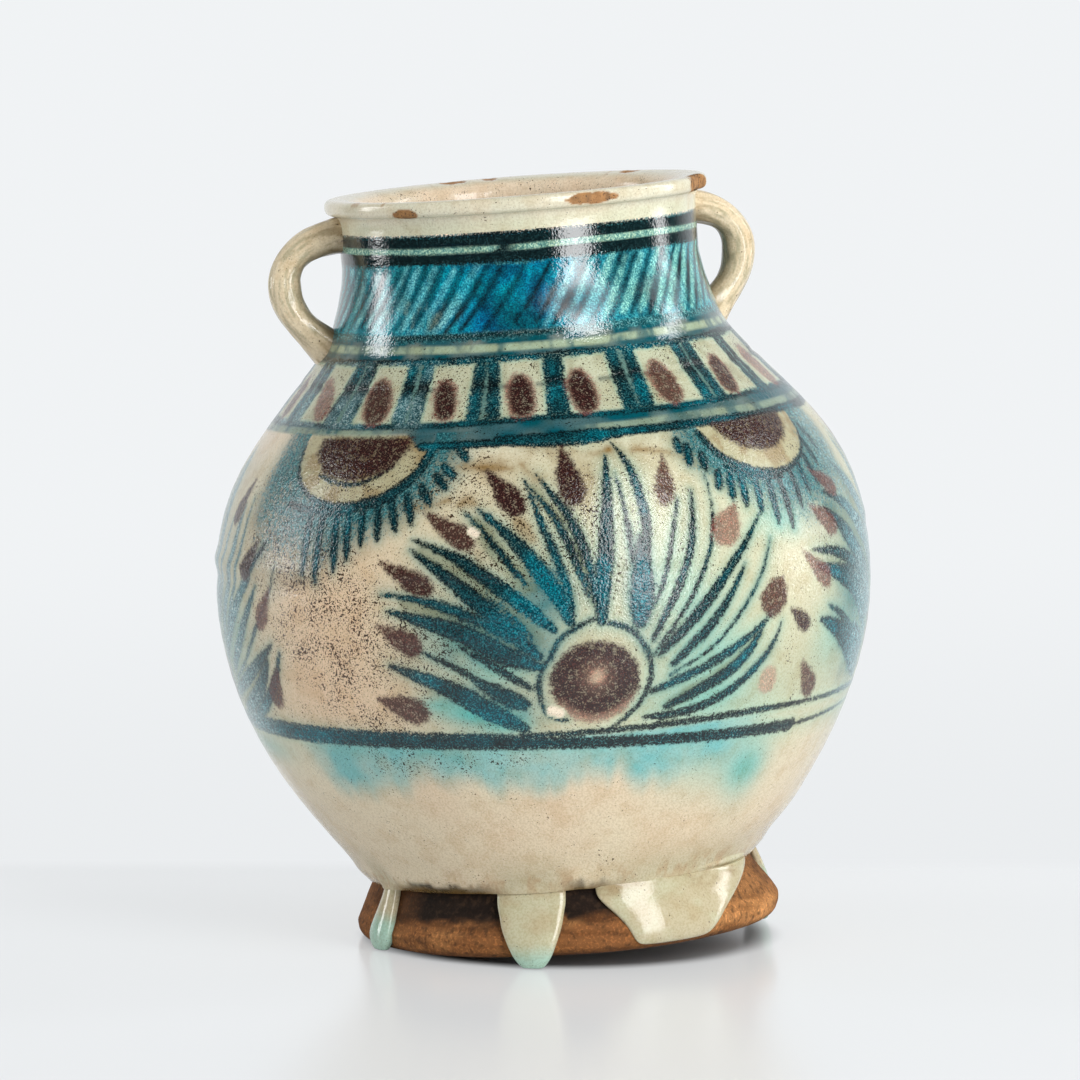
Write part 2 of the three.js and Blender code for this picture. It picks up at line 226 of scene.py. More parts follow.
def handMade(at):
    # slow dents, climbing throwing rings, the ridge of the belly seam, a groove round the shoulder,
    # fuller places on the left, and at the waist the roll of glaze, its coves over the runs and a nip
    azimuth, height = at["azimuth"], at["height"]
    settle = zone(at, above=(15.5, 24)) * (1 - zone(at, 0.8, above=(168, 180)))
    phase = height / unevenness["ringPitch"] + azimuth / 360 + clouds(at, 30, 5, 0, 0.5)
    shape = ragged(at, 46, 11, unevenness["dents"]) + unevenness["rings"] * np.sin(2 * np.pi * phase)
    seam = zone(at, level=(101.0, 2.6)) - zone(at, 0.6, level=(96.6, 2.2))
    shape = shape + unevenness["seamRidge"] * (0.3 + zone(at, 0.7, around=(-95, 42))) * seam
    worn = clouds(at, 40, 7, 0.4, 0.6)
    shape = shape - zone(at, unevenness["groove"] * worn, level=(unevenness["grooveHeight"], 0.9))
    shape = shape + sum(spot(at, row) for row in unevenness["fuller"])
    flow, swell = glazeFlow(azimuth), 0.5 + 0.6 * softNoise(azimuth, 0 * height, 30, 9)
    roll = zone(at, unevenness["roll"] * swell * (1 - 0.85 * flow), level=unevenness["rollAt"])
    drawn = np.clip((unevenness["coveTop"] - height) / unevenness["coveTall"], 0, 1) ** 2
    nip = zone(at, unevenness["nip"], around=unevenness["nipAt"], below=(15.5, 30))
    return settle * shape + roll + unevenness["cove"] * flow * drawn - nip


def linear(red, green, blue):
    # a screen colour from 0 to 255 made linear
    level = np.array([red, green, blue]) / 255
    return np.where(level <= 0.04045, level / 12.92, ((level + 0.055) / 1.055) ** 2.4)


screenColours = {
    "cream": (228, 216, 187), "tan": (240, 208, 174), "pinkTan": (227, 205, 175), "lowWash": (120, 187, 186),
    "fanShade": (146, 158, 134), "green": (198, 206, 176), "veil": (112, 122, 92), "bubble": (240, 226, 204),
    "paleTurquoise": (150, 198, 180), "seaBlue": (0, 146, 168), "turquoise": (92, 182, 174),
    # one colour below is painted shade: the dark brown for the inside of the handles' loops
    "fanGround": (184, 181, 148), "brightSea": (0, 164, 186), "paintedHandleShade": (118, 92, 54),
    "neckBlue": (0, 100, 148), "deepTeal": (2, 34, 44), "cobalt": (0, 90, 104), "sideInkAndSheen": (112, 164, 168),
    "pool": (0, 110, 120), "barGap": (44, 108, 112), "washTeal": (40, 108, 114), "drip": (112, 190, 182),
    "ochre": (136, 104, 50), "ink": (6, 50, 56), "inkDark": (3, 18, 21), "inkBlue": (0, 82, 94),
    "black": (3, 5, 6), "paleHatch": (124, 198, 190), "leftHatch": (122, 198, 202), "panel": (202, 191, 158),
    "paleLine": (166, 184, 156), "crescent": (178, 173, 138), "lip": (220, 216, 193), "worn": (168, 122, 72),
    "inside": (243, 220, 192), "aqua": (160, 202, 188), "runCream": (192, 182, 152),
    "handle": (229, 212, 180), "clay": (130, 85, 48), "clayDark": (20, 14, 10), "clayPale": (186, 132, 80),
}
glazeColours = {name: linear(*levels) for name, levels in screenColours.items()}


def filled(shape, name):
    # one colour for every point
    return np.broadcast_to(glazeColours[name], shape + (3,))


def tinted(base, tint, share):
    # base moved towards a named colour, or a colour for each point, by a share for each point
    goal = glazeColours[tint] if isinstance(tint, str) else tint
    return base + (goal - base) * np.clip(share, 0, 1)[..., None]


# The front fan in (azimuth, height): a width in mm, then the stroke's points from its base to its tip
fan = {
    "turns": [0.0, 83.0, 171.0, -98.0], "sideBold": 1.4, "shake": 0.7, "sideFrom": 75, "soaked": 0.72,
    "sideDabs": [
        (4.2, 0.2, (60, 116), (67, 110)), (4.8, 0.25, (56, 107.5), (62.5, 101)),
        (4.8, 0.25, (51.4, 96.5), (58.2, 88.4)), (3.6, 0.0, (47, 83.2), (51.6, 78)),
        (5.0, 0.1, (51.5, 68.5), (55.5, 61)), (4.6, 0.0, (-68.5, 122), (-71.5, 113)),
        (4.8, 0.0, (-59.5, 108.5), (-64, 100)), (4.6, 0.2, (-55.5, 96.5), (-58.5, 88)),
        (5.2, 0.1, (-55.5, 76), (-58.5, 68)),
    ],
    "sideWash": [
        (72, 86, 9, 24, 0.7), (-77, 86, 10, 26, 0.5), (172, 86, 10, 14, 0.5), (-57, 126, 4.5, 5.5, 0.6),
        (66, 123, 5, 6, 0.7),
    ],
    "leaves": [
        (5.8, (-5.2, 60.6), (-10.5, 65), (-15.5, 69.6), (-20.5, 73.4), (-28.2, 77.9)),
        (1.5, (-12, 73.4), (-17.5, 78), (-23.5, 82)),
        (2.4, (-3.2, 70.6), (-7, 74.4), (-11, 78.6), (-15, 82)),
        (5.6, (-1.6, 76), (-6, 78.6), (-11, 82.6), (-16, 86.4), (-21, 88.8), (-27.5, 91.6)),
        (2.8, (-3, 80.5), (-8, 85.5), (-13, 89.6), (-18, 92.6), (-23, 94.6), (-28.6, 95.7)),
        (4.6, (-1.4, 78.4), (-5, 83.8), (-9.5, 90.6), (-14, 96.6), (-18.5, 102), (-22.8, 106.4)),
        (4.2, (1.4, 85), (-2.5, 90.4), (-7, 96), (-11, 100.4), (-15.5, 104.8), (-22.4, 108.8)),
        (1.5, (-2.2, 83.2), (-5, 88), (-9, 94)),
        (1.9, (-2.8, 96.5), (-5, 101.2), (-7.5, 106), (-10, 110.6), (-13, 115)),
        (4.6, (4.4, 86.4), (3, 92), (0.5, 98), (-2.5, 104.2), (-5.8, 109.6), (-10.4, 115.4)),
        (2.4, (4.9, 88), (4.2, 95), (3, 101.5), (1.2, 109), (-0.2, 115), (-1.8, 121.6)),
        (2.0, (8.4, 91), (6.8, 97.5), (5.2, 105), (3.3, 111.5), (1, 116.5), (-1.6, 120.8)),
        (2.7, (9, 91), (8.2, 100), (7, 107), (5, 113.6), (2.8, 118), (0.4, 122.8)),
        (4.6, (9.6, 86), (10.2, 95), (11.3, 103), (12.4, 113), (14.1, 126)),
        (1.4, (15.8, 100), (15.7, 110), (15.2, 122)),
        (6.6, (16.3, 85), (16.9, 91), (17.4, 97), (17.6, 106)),
        (2.7, (17.8, 96), (19, 107.9), (18.9, 115.5), (18, 123.2), (15.9, 128.7)),
        (1.5, (19.4, 89.5), (21, 94.5), (22.4, 100), (24, 107), (25.8, 113.8)),
        (2.4, (18.5, 80.3), (21.4, 87.5), (24.3, 94.3), (26.7, 102), (28.1, 109.6), (28.9, 115.4)),
        (1.3, (18.5, 76.4), (21.4, 81.5), (26.1, 90), (30.2, 100.2), (32.2, 109.6), (32.8, 119)),
        (3.0, (19.5, 76.5), (25.5, 83.7), (30.2, 90), (36.6, 99.4), (42.2, 107.5)),
        (2.6, (22, 73.5), (25.5, 77.6), (29.6, 82.4), (34.2, 90), (37.2, 96.2)),
        (0.9, (21.4, 70.9), (29.6, 76.4), (36.6, 85.8), (41.2, 94.3), (43.5, 101.5)),
        (2.8, (18.2, 67.2), (27.3, 71.3), (33, 74.7), (38.9, 79), (42.3, 82.6)),
        (3.4, (20.9, 62.8), (31.9, 68.8), (37.1, 73.9), (40.2, 79.2)),
        (2.6, (17, 61), (21.4, 60.5), (29.6, 62.4), (36.6, 67), (42.4, 73.9), (44.8, 80)),
    ],
    "bluntLeaves": [(4.8, (-5, 66.8), (-8.5, 69.4), (-13, 73.6)), (2.2, (1.2, 85.6), (-1, 88.6), (-4, 92.5))],
    "bluntShape": [0.8, 1.0, 0.95, 0.7, 0.35],
    "veils": [
        (5.5, (-2.5, 96), (-6, 103), (-11, 112.5)), (3.6, (8.6, 92), (6.2, 104), (3.2, 113), (-0.4, 120)),
        (6.5, (-2, 83), (-8, 93), (-14, 100.5), (-20.5, 106)), (4.6, (-6, 82), (-14, 89), (-24.5, 93.4)),
        (4.0, (22, 64), (33, 70.5), (40, 78)),
    ],
    "veilShape": [0.8, 1.0, 1.0, 0.6],
    "soak": [
        (-12, 88.5, 4, 4, 0.8), (-7, 86, 5, 6, 0.9), (-3, 80, 4, 4.5, 0.8), (-7, 92, 4, 4, 0.7),
        (0.5, 95, 3.5, 4.5, 0.8), (-15, 70.5, 6, 2.6, 0.8), (-9, 67.5, 4, 3, 0.75), (17, 93, 3, 7, 0.7),
    ],
    "flood": [
        (-5, 86, 6.5, 5.5, 0.85), (0.5, 94, 4, 6, 0.8), (-12, 85, 8, 4.5, 0.7), (-9, 64, 7, 4, 0.75),
        (16.5, 92, 2.6, 8, 0.6), (-15, 80, 8, 4, 0.45),
    ],
    "leafShape": [0.5, 0.85, 1.0, 0.95, 0.8, 0.55, 0.16],
    "dabs": [
        (5.4, 0.0, (-9, 124.3), (-3.5, 115.4)), (5.8, 0.0, (5.6, 129), (6.8, 117)),
        (5.0, 0.05, (-20.2, 115), (-12.6, 107.8)), (4.9, 0.03, (-28.7, 103.8), (-20.3, 97)),
        (5.0, 0.08, (-30, 88), (-23, 82.4)), (6.0, 0.08, (-31.7, 69.3), (-24, 65.6)),
        (4.6, 0.1, (25.4, 124.5), (23.4, 114.5)), (6.6, 0.4, (37.2, 110.5), (33.6, 104)),
        (7.4, 0.1, (45.4, 90.8), (42.6, 85.6)), (5.0, 0.85, (42.9, 69), (42.5, 65)),
    ],
    "dabShape": [0.1, 0.28, 0.55, 0.9, 1.15, 1.2, 0.9],
    "disc": {"middle": (8.0, 71.1), "radii": (7.9, 10.1), "spot": (8.3, 72.4), "spotSize": 2.7},
    "ring": (1.4, (8.3, 87), (3, 83.3), (0.3, 78), (-1.7, 73), (-1.7, 67), (-0.3, 63.3), (2.7, 61.7)),
    "ringRight": (
        1.4, (9, 86.6), (11, 85.4), (14.5, 83.5), (16.7, 79.2), (17.9, 75), (17.7, 69.5), (15.6, 64),
        (12.3, 60.3), (10.4, 58.6),
    ),
    "lineShape": [0.8, 1.0, 1.0, 0.9, 0.8],
}

# Half-round motifs that hang from the shoulder band
lunettes = {
    "left": {
        "azimuth": -37.8, "half": 17.5, "top": 133.0, "depth": 16.0, "brownHalf": 12.3, "brownDepth": 10.0,
        "outline": 3.0, "lean": -1, "heavy": 0.6, "sideBand": [
            (2.6, (-52, 117.5), (-40, 115.6), (-27, 119)),
            (1.5, (-46, 124.4), (-40, 122.4), (-34, 122.8), (-28.5, 126.4)),
        ],
    },
    "right": {
        "azimuth": 50.8, "half": 15.5, "top": 130.4, "depth": 13.6, "brownHalf": 10.7, "brownDepth": 7.9,
        "outline": 2.4, "lean": 1, "heavy": 0.7, "sideBand": [(2.2, (38, 120), (44, 116.6), (51, 115.6))],
    },
    "places": [("left", 0.0), ("right", 0.0), ("left", 173.0), ("right", 172.0)],
    "leftFringe": [
        (-15.8, 132, -13, 127), (-17.7, 127, -15.2, 123.3), (-19, 124.8, -16.7, 120.5),
        (-21.7, 122.4, -19.5, 117), (-24.3, 120.5, -22.7, 112.4), (-27.7, 120.5, -25.7, 111),
        (-30, 119.5, -29.3, 109), (-33, 119, -32.8, 107.7), (-36, 118, -35.6, 104.3),
        (-38.8, 118, -38.3, 101.6), (-42, 118, -42.6, 99), (-45, 118.5, -45.6, 101),
    ],
    "rightFringe": [
        (29.7, 128.4, 29.4, 124.6), (31.5, 126.8, 30.5, 121.4), (34, 124.6, 33.4, 119.7),
        (36, 119.7, 34.9, 114.9), (38.4, 119, 37.2, 112), (40.6, 118, 39.9, 110), (43.8, 117, 43, 107.8),
        (46.9, 115.9, 46.5, 104.6), (50, 115.8, 50, 103), (54, 117.5, 54, 107.3), (57.5, 119, 57.8, 110),
        (61, 121, 61.6, 112), (64, 124, 65, 116), (67, 127, 68.5, 120),
    ],
    "fringeShape": [0.8, 1.0, 1.0, 0.85, 0.4],
    "fringeWidth": 2.6, "fringeDrop": 0.8, "bandShape": [0.8, 1, 0.8], "washReach": 14.0,
    "outlineShape": [0.3, 0.5, 0.9, 1.1, 1.0],
}

# Cream panels with a drop in each, between the lines of the shoulder band
panels = {
    "foot": 136.8, "top": 149.2, "half": 5.5, "bar": 0.45, "solidBar": (3.5, 5.0), "spacing": 18.7,
    "backLean": (-1.2, 0.8, 0.1), "middles": [-59.0, -38.5, -19.7, -1.4, 14.9, 35.2, 55.8, 75.0],
    "halves": [5.5, 5.5, 5.5, 5.5, 6.5, 7.3, 7.3, 6.5],
    "drop": (7.2, 145.9, 138.4), "dropShape": [0.3, 0.65, 0.95, 1.0, 1.0, 0.9],
    "dropLean": [
        (-3.6, 2.5, 0.35), (-2.3, 0.7, 0.05), (-1.9, 0.1, 0.0), (-0.8, -0.2, 0.0), (-2.3, -1.9, 0.0),
        (-0.6, -0.6, 0.1), (0.6, -2.4, 0.05), (-1.0, 0.4, 0.4),
    ],
    "lines": [(150.4, 1.8, 0), (135.6, 1.6, 0), (130.7, 2.2, 4)],
    "heavyLine": [(-7, 131.2), (3, 130.6), (12, 130.6), (21, 131.2)], "heavyWidth": 4.8,
    "heavyShape": [0.6, 1, 1, 0.5],
}

# Hatching between the lines of the neck
neckBand = {
    "slope": 0.74, "middle": 165.0, "reach": 8.0, "from": 152.0, "bare": (-15, 11), "bareSize": 0.65,
    "broad": (10, 100), "broadSize": 1.1,
    "darkAt": [
        -71, -65.5, -58.5, -52.5, -47, -42, -36, -30.3, -23.3, -16.5, -11.8, -4.5, 3.5, 9.5, 15.5, 21, 27.5,
        33.3, 40, 46.5, 52, 58, 64.5, 70.5,
    ],
    "backFrom": 76.5, "backTo": 283.0, "backCount": 35, "darkWidth": 2.4, "paleWidth": 2.3,
    "strokeShape": [0.55, 0.85, 1.0, 1.0, 0.8, 0.6],
    "blackLines": [(179.9, 2.6), (174.9, 2.9)], "blackTick": [(-8, 175.8), (-5, 177.3), (-3.6, 179)],
    "footLine": (156.0, 2.0),
    "dull": [(18, 13, 1.1), (50, 10, 0.9), (-50, 9, 0.3)],
    "pools": [
        (-17, 168, 11, 5, "brightSea", 0.85), (-35, 165, 8, 7, "brightSea", 0.5),
        (-11, 161, 5, 4, "neckBlue", 0.6), (4, 166, 6, 5, "neckBlue", 0.6),
    ],
    "deeps": [
        (-1, 158, 6, 4, 0.75), (-6, 171.5, 2.5, 2.5, 0.7), (31, 168, 9, 5, 0.25), (-64, 168, 7, 6, 0.45),
    ],
}

# The line that the fan stands on, wound once round the belly, and the washes that ran from it
groundLine = {
    "path": [
        (-6, 58.4), (10, 58.2), (39, 58.4), (60, 58), (100, 58.4), (145, 59), (190, 59.8), (235, 60.6),
        (285, 60.4), (304, 59.7), (325, 58.8), (346, 57.6), (356, 56.6), (366, 55.6), (390, 53.7),
        (412.3, 52.6),
    ],
    "widths": [1.8, 1.7, 1.9, 1.2, 2.4, 3.0, 3.2, 3.6, 4.8, 5.2, 4.8, 4.9, 4.0, 3.3, 3.1, 3.6],
    "hang": {"from": 46.2, "sway": 10.0, "soft": 4.5, "left": (-58, -46), "right": (30, 48)},
    "tail": [(52.3, 52.5), (62, 52.9), (78, 54), (120, 55.5)], "tailShape": [1, 0.9, 0.7, 0.3],
    "tailWidth": 1.2,
    "washes": [
        (-41, 56, 6, 3, 0.7), (31, 47, 9, 8, 0.4), (42, 44, 5, 5, 0.6), (-13, 65, 7, 3, 0.9),
        (-20, 67.5, 5, 2.6, 0.7), (-8, 61.5, 5, 2.4, 0.7), (-8, 76, 7, 4, 0.4), (-14, 84, 8, 4, 0.4),
        (31, 63, 13, 6, 0.45), (30, 74, 9, 9, 0.5), (24, 92, 6, 12, 0.3), (47, 106, 8, 5, 0.4),
        (60, 70, 7, 8, 0.4), (100, 52, 20, 5, 0.6), (150, 50, 22, 7, 0.7), (205, 51, 20, 6, 0.6),
        (250, 53, 18, 5, 0.6), (285, 54, 14, 4, 0.5), (-75, 80, 12, 14, 0.4), (78, 82, 12, 16, 0.45),
    ],
}

# Burst bubbles that left the glaze bare: a width in mm, then the points of each
bubbles = [(2.6, (0.1, 64.6), (1.4, 63.9)), (1.9, (-11.7, 110.4), (-10.9, 109.6))]

# Brown stains in the glaze: a width in mm, then the points of each
stains = [
    (1.0, (-15, 125.8), (-9, 125), (-4, 124.6)), (0.9, (-2.2, 125.4), (-0.6, 122.8), (1, 121.4)),
    (1.8, (-13.8, 116.8), (-12.4, 117.8), (-11.2, 117)), (3.0, (-3.8, 112.6), (-2.6, 110), (-1.4, 107.6)),
    (1.0, (-10.6, 105), (-10, 101.5), (-9.2, 99.4)), (2.4, (9.4, 126), (9.8, 121), (9, 115.5)),
    (1.0, (8, 127.6), (11, 126.4), (15, 127)), (0.9, (-25.5, 117), (-20, 116.6), (-16, 118)),
    (1.0, (20, 126.4), (26, 125.4), (31, 122)),
]


# Depth of a layer that no stroke has touched, and how far round a stroke it is worked out, in mm
unpainted, strokeMargin = -9.0, 4.0


def smoothPath(points, count):
    # a spline through the points: each stretch bends by the cubic of its four nearest points
    knots = np.array(points, float)
    ends = np.concatenate([knots[:1], knots, knots[-1:]])
    t = np.linspace(0, len(knots) - 1, count)
    k = np.clip(t.astype(int), 0, len(knots) - 2)
    f = (t - k)[:, None]
    a, b, c, d = (ends[k + shift] for shift in range(4))
    bend = (2 * a - 5 * b + 4 * c - d) * f ** 2 + (3 * b - a - 3 * c + d) * f ** 3
    return 0.5 * (2 * b + (c - a) * f + bend)


def deepen(wall, key, value):
    # the larger of a layer and a value
    wall[key] = np.maximum(wall[key], value)


def brush(wall, key, points, widths, shape, count=14):
    # half the stroke's width less the distance to its path, in mm on the wall; the largest value wins
    path, share = smoothPath(points, count), np.linspace(0, 1, count)
    widths = np.atleast_1d(widths)
    half = 0.5 * np.interp(share, np.linspace(0, 1, len(shape)), shape)
    half = half * np.interp(share, np.linspace(0, 1, len(widths)), widths)
    margin = strokeMargin + half.max()
    (left, low), (right, high) = path.min(0), path.max(0)
    middle, reach = (left + right) / 2, (right - left) / 2 + margin
    near = (np.abs(wrapTurn(wall["azimuth"] - middle)) < reach) | (reach > 180)
    near &= (wall["height"] > low - margin) & (wall["height"] < high + margin)
    index = np.nonzero(near)[0]
    azimuth, scale, length = wall["azimuth"][index], np.radians(wall["radius"][index]), wall["length"][index]
    best, along = wall[key][index], wallLength(path[:, 1])
    for k in range(count - 1):
        x, y = wrapTurn(azimuth - path[k, 0]) * scale, length - along[k]
        dx, dy = (path[k + 1, 0] - path[k, 0]) * scale, along[k + 1] - along[k]
        t = np.clip((x * dx + y * dy) / (dx * dx + dy * dy + 1e-9), 0, 1)
        best = np.maximum(best, half[k] * (1 - t) + half[k + 1] * t - np.hypot(x - t * dx, y - t * dy))
    wall[key][index] = best


def blot(wall, points, width, shape, faded, rim=0.0):
    # a brown stroke; where it lies on top its fading replaces what was there, at least rim at its edge
    wall["blot"] = np.full(wall["height"].shape, unpainted)
    brush(wall, "blot", points, width, shape, 8)
    depth = wall["blot"]
    paler = np.maximum(faded, rim * (1 - ease(depth, -0.3, 1.6)))
    wall["fade"] = np.where(depth > np.maximum(wall["brown"], -1.5), paler, wall["fade"])
    deepen(wall, "brown", depth)


def ringLine(wall, height, width, seed):
    # half the width less the distance to a level line that wavers a little
    level = 0 * wall["azimuth"]
    waver = 0.9 * (softNoise(wall["azimuth"], level, 26, seed) - 0.5)
    swell = 0.7 + 0.6 * softNoise(wall["azimuth"], level + 60, 14, seed)
    return 0.5 * width * swell - np.abs(wall["length"] - wallLength(height) - waver)


def paintFan(wall, turn):
    # every stroke of the fan, turned round the urn; a seeded hand shakes all fans but the front one
    hand, atFront = np.random.default_rng(int(turn) + 500), turn == 0
    bold = 1.0 if atFront else fan["sideBold"]

    def moved(points, shaken=True):
        # points turned with the fan and shaken
        across, up = hand.normal(0, fan["shake"], 2) * (not atFront) if shaken else (0, 0)
        return [(a + turn + across, h + up) for a, h in points]

    for strokes, shape in (("leaves", "leafShape"), ("bluntLeaves", "bluntShape")):
        for width, *points in fan[strokes]:
            brush(wall, "blue", moved(points), bold * width, fan[shape])
    for width, *points in fan["veils"]:
        brush(wall, "veil", moved(points, False), width, fan["veilShape"], 8)
    for width, *points in (fan["ring"], fan["ringRight"]):
        brush(wall, "blue", moved(points, False), width, fan["lineShape"], 20)
    dabs = [(width, faded, moved(points)) for width, faded, *points in fan["dabs"]]
    if atFront:
        dabs += [(width, faded, points) for width, faded, *points in fan["sideDabs"]]
    else:
        dabs = [dab for dab in dabs if abs(wrapTurn(dab[2][0][0])) > fan["sideFrom"]]
    for width, faded, points in dabs:
        blot(wall, points, width, fan["dabShape"], faded)
    (a, h), (wide, tall) = fan["disc"]["middle"], fan["disc"]["radii"]
    span = np.hypot(wrapTurn(wall["azimuth"] - a - turn) / wide, (wall["height"] - h) / tall)
    deepen(wall, "brown", (1 - span) * tall)
    edge = ease(span, 0.72, 0.95) * (1 - ease(span, 1.1, 1.3))
    deepen(wall, "fade", zone(wall, 0.45 * edge, below=(h - 8, h - 2)))
    a, h = fan["disc"]["spot"]
    across = wrapTurn(wall["azimuth"] - a - turn) * np.radians(wall["radius"])
    span = np.hypot(across, wall["height"] - h) / fan["disc"]["spotSize"]
    deepen(wall, "fade", 0.75 * (1 - ease(span, 0.2, 1.0)) + 0.14 * (1 - ease(span, 0.6, 2.4)))


def paintLunette(wall, kind, turn):
    # a brown half oval, a bare crescent, and a blue outline whose wash runs down into a fringe
    piece, height = lunettes[kind], wall["height"]
    middle, top, half, depth = piece["azimuth"] + turn, piece["top"], piece["half"], piece["depth"]
    delta = wrapTurn(wall["azimuth"] - middle)
    span = np.hypot(delta / piece["brownHalf"], np.minimum(height - top, 0) / piece["brownDepth"])
    deepen(wall, "brown", np.minimum((1 - span) * piece["brownDepth"], 1.2 * (top - height)))
    outward = (np.hypot(delta / half, (height - top) / depth) - 1) * depth
    deepen(wall, "crescent", ease(-outward, 0, 1) * (height < top + 0.5))
    heavy = 1 + piece["heavy"] * np.clip(piece["lean"] * delta / half, -0.7, 1)
    wash = np.clip(1.25 - outward / (lunettes["washReach"] * heavy), 0, 0.95)
    wash = wash * (1 - ease(np.abs(delta), 22, 30))
    deepen(wall, "wash", np.where((outward > -0.3) & (height < top + 1), wash, 0))
    swing = np.radians(np.linspace(8, 172, 9))
    arc = [(middle + half * math.cos(s), top - depth * math.sin(s)) for s in swing]
    brush(wall, "blue", arc, piece["outline"], lunettes["outlineShape"][::piece["lean"]], 26)
    for a0, h0, a1, h1 in lunettes[kind + "Fringe"]:
        points = [(a0 + turn, h0 - lunettes["fringeDrop"]), (a1 + turn, h1)]
        brush(wall, "blue", points, lunettes["fringeWidth"], lunettes["fringeShape"], 5)
    for width, *points in piece["sideBand"]:
        brush(wall, "blue", [(a + turn, h) for a, h in points], width, lunettes["bandShape"], 6)


def paintPanels(wall):
    # two bars between neighbouring panels, a drop in each panel, and the lines above and below
    front, height, hand = panels["middles"], wall["height"], np.random.default_rng(31)
    halves, leans = dict(zip(front, panels["halves"])), dict(zip(front, panels["dropLean"]))
    steps = int(round((front[0] + 360 - front[-1]) / panels["spacing"]))
    middles = np.sort(np.concatenate([front, np.linspace(front[-1], front[0] + 360, steps + 1)[1:-1]]))
    level = np.minimum(height - panels["foot"], panels["top"] - height) + 1
    width, top, foot = panels["drop"]
    for first, second in zip(middles, np.append(middles[1:], middles[0] + 360)):
        low = first + halves.get(first, panels["half"])
        high = second - halves.get(wrapTurn(second), panels["half"])
        solid = panels["solidBar"][0] < low < panels["solidBar"][1]
        bar = (high - low) * (1.0 if solid else panels["bar"])
        deepen(wall, "barGap", zone(wall, around=((low + high) / 2, (high - low) / 3.2)))
        for start, end in ((low, low + bar), (high - bar, high)):
            slant = 0.03 * (height - 143) * hand.normal(0, 2.6)
            across = (end - start) / 2 - np.abs(wrapTurn(wall["azimuth"] - (start + end) / 2 + slant))
            deepen(wall, "blue", np.minimum(across * np.radians(wall["radius"]), level))
        shake = hand.normal(0, 0.8, 3)
        backLean = (panels["backLean"][0] + shake[0],) + panels["backLean"][1:]
        leanTop, leanFoot, worn = leans.get(first, backLean)
        halfway = ((leanTop + leanFoot) / 2, (top + foot) / 2)
        drop = [(leanTop, top + 0.4 * shake[1]), halfway, (leanFoot, foot)]
        drop = [(first + aside, h) for aside, h in drop]
        blot(wall, drop, width * hand.uniform(0.85, 1.2), panels["dropShape"], worn, 0.45)
    for number, (line, thick, sunk) in enumerate(panels["lines"]):
        deepen(wall, "blue", ringLine(wall, line, thick, 60 + number) - sunk * wall["climb"])
    brush(wall, "blue", panels["heavyLine"], panels["heavyWidth"], panels["heavyShape"], 8)


def paintNeck(wall):
    # slanted dark strokes with pale ones between them, and the lines round the neck
    hand, middle, reach = np.random.default_rng(77), neckBand["middle"], neckBand["reach"]
    back = np.linspace(neckBand["backFrom"], neckBand["backTo"], neckBand["backCount"])
    places = np.sort(np.concatenate([neckBand["darkAt"], back]))
    for first, second in zip(places, np.append(places[1:], places[0] + 360)):
        for key, at, width in (("deep", first, "darkWidth"), ("pale", (first + second) / 2, "paleWidth")):
            tilt = neckBand["slope"] * hand.uniform(0.85, 1.12)
            size = neckBand[width] * hand.uniform(0.6, 1.2)
            low, high = reach * hand.uniform(0.75, 1.0), reach * hand.uniform(0.9, 1.08)
            points = [(at - tilt * low - 1.0, middle - low), (at, middle), (at + tilt * high, middle + high)]
            bare = neckBand["bare"][0] < wrapTurn(at) < neckBand["bare"][1]
            broad = key == "pale" and neckBand["broad"][0] < at < neckBand["broad"][1]
            size = size * (neckBand["broadSize"] if broad else 1.0) * (neckBand["bareSize"] if bare else 1.0)
            if key == "deep" or not bare:
                brush(wall, key, points, size, neckBand["strokeShape"], 7)
    for number, (line, thick) in enumerate(neckBand["blackLines"] + [neckBand["footLine"]]):
        deepen(wall, "blue", ringLine(wall, line, thick, 80 + number))
    brush(wall, "blue", neckBand["blackTick"], 1.3, [1, 0.7, 1], 5)


def groundGlaze(at):
    # cream that turns tan and pink in blotches, greener on the right and round the fans, brown at the waist,
    # and painted shade under the wall's bottom edge
    azimuth, height = at["azimuth"], at["height"]
    base = tinted(filled(azimuth.shape, "cream"), "pinkTan", 0.9 * blotches(at, 34, 21, 0.35, 0.75))
    base = tinted(base, "pinkTan", zone(at, 0.35, below=(36, 50)))
    base = tinted(base, "tan", zone(at, 0.95, around=(-43, 21), above=(54, 66), below=(114, 127)))
    base = tinted(base, "green", zone(at, 0.4, around=(40, 26), level=(75, 26)))
    base = tinted(base, "fanGround", zone(at, 0.75, around=(50, 20), level=(68, 18)))
    for turn in fan["turns"]:
        paler = zone(at, 0.62, around=(turn + 10, 32), above=(56, 64), below=(124, 131))
        base = tinted(base, "fanGround", paler)
        base = tinted(base, "fanShade", zone(at, 0.6, around=(turn - 10, 14), level=(82, 20)))
    flow = glazeFlow(azimuth)
    base = tinted(base, "runCream", zone(at, 0.25 + 0.9 * flow, level=(15.5, 8)))
    base = tinted(base, "worn", zone(at, 0.4 * blotches(at, 2.4, 27, 0.55, 0.7), level=(18.5, 3.0)))
    # painted shade: near black under the wall's bottom edge, at the front-left and front, between the runs
    creaseShade = np.clip(zone(at, 1.2, around=(-37, 15)) + zone(at, around=(8, 7)), 0, 1)
    creaseShade = creaseShade * ease(height + ragged(at, 4, 28, 5), 18.2, 16.6)
    base = tinted(base, "clayDark", 0.9 * creaseShade * (1 - flow))
    rust = ease(height + 2 * mottle(azimuth, height, 8, 29), 18.2, 16.8)
    return tinted(base, "ochre", 0.8 * (1 - flow) * rust)


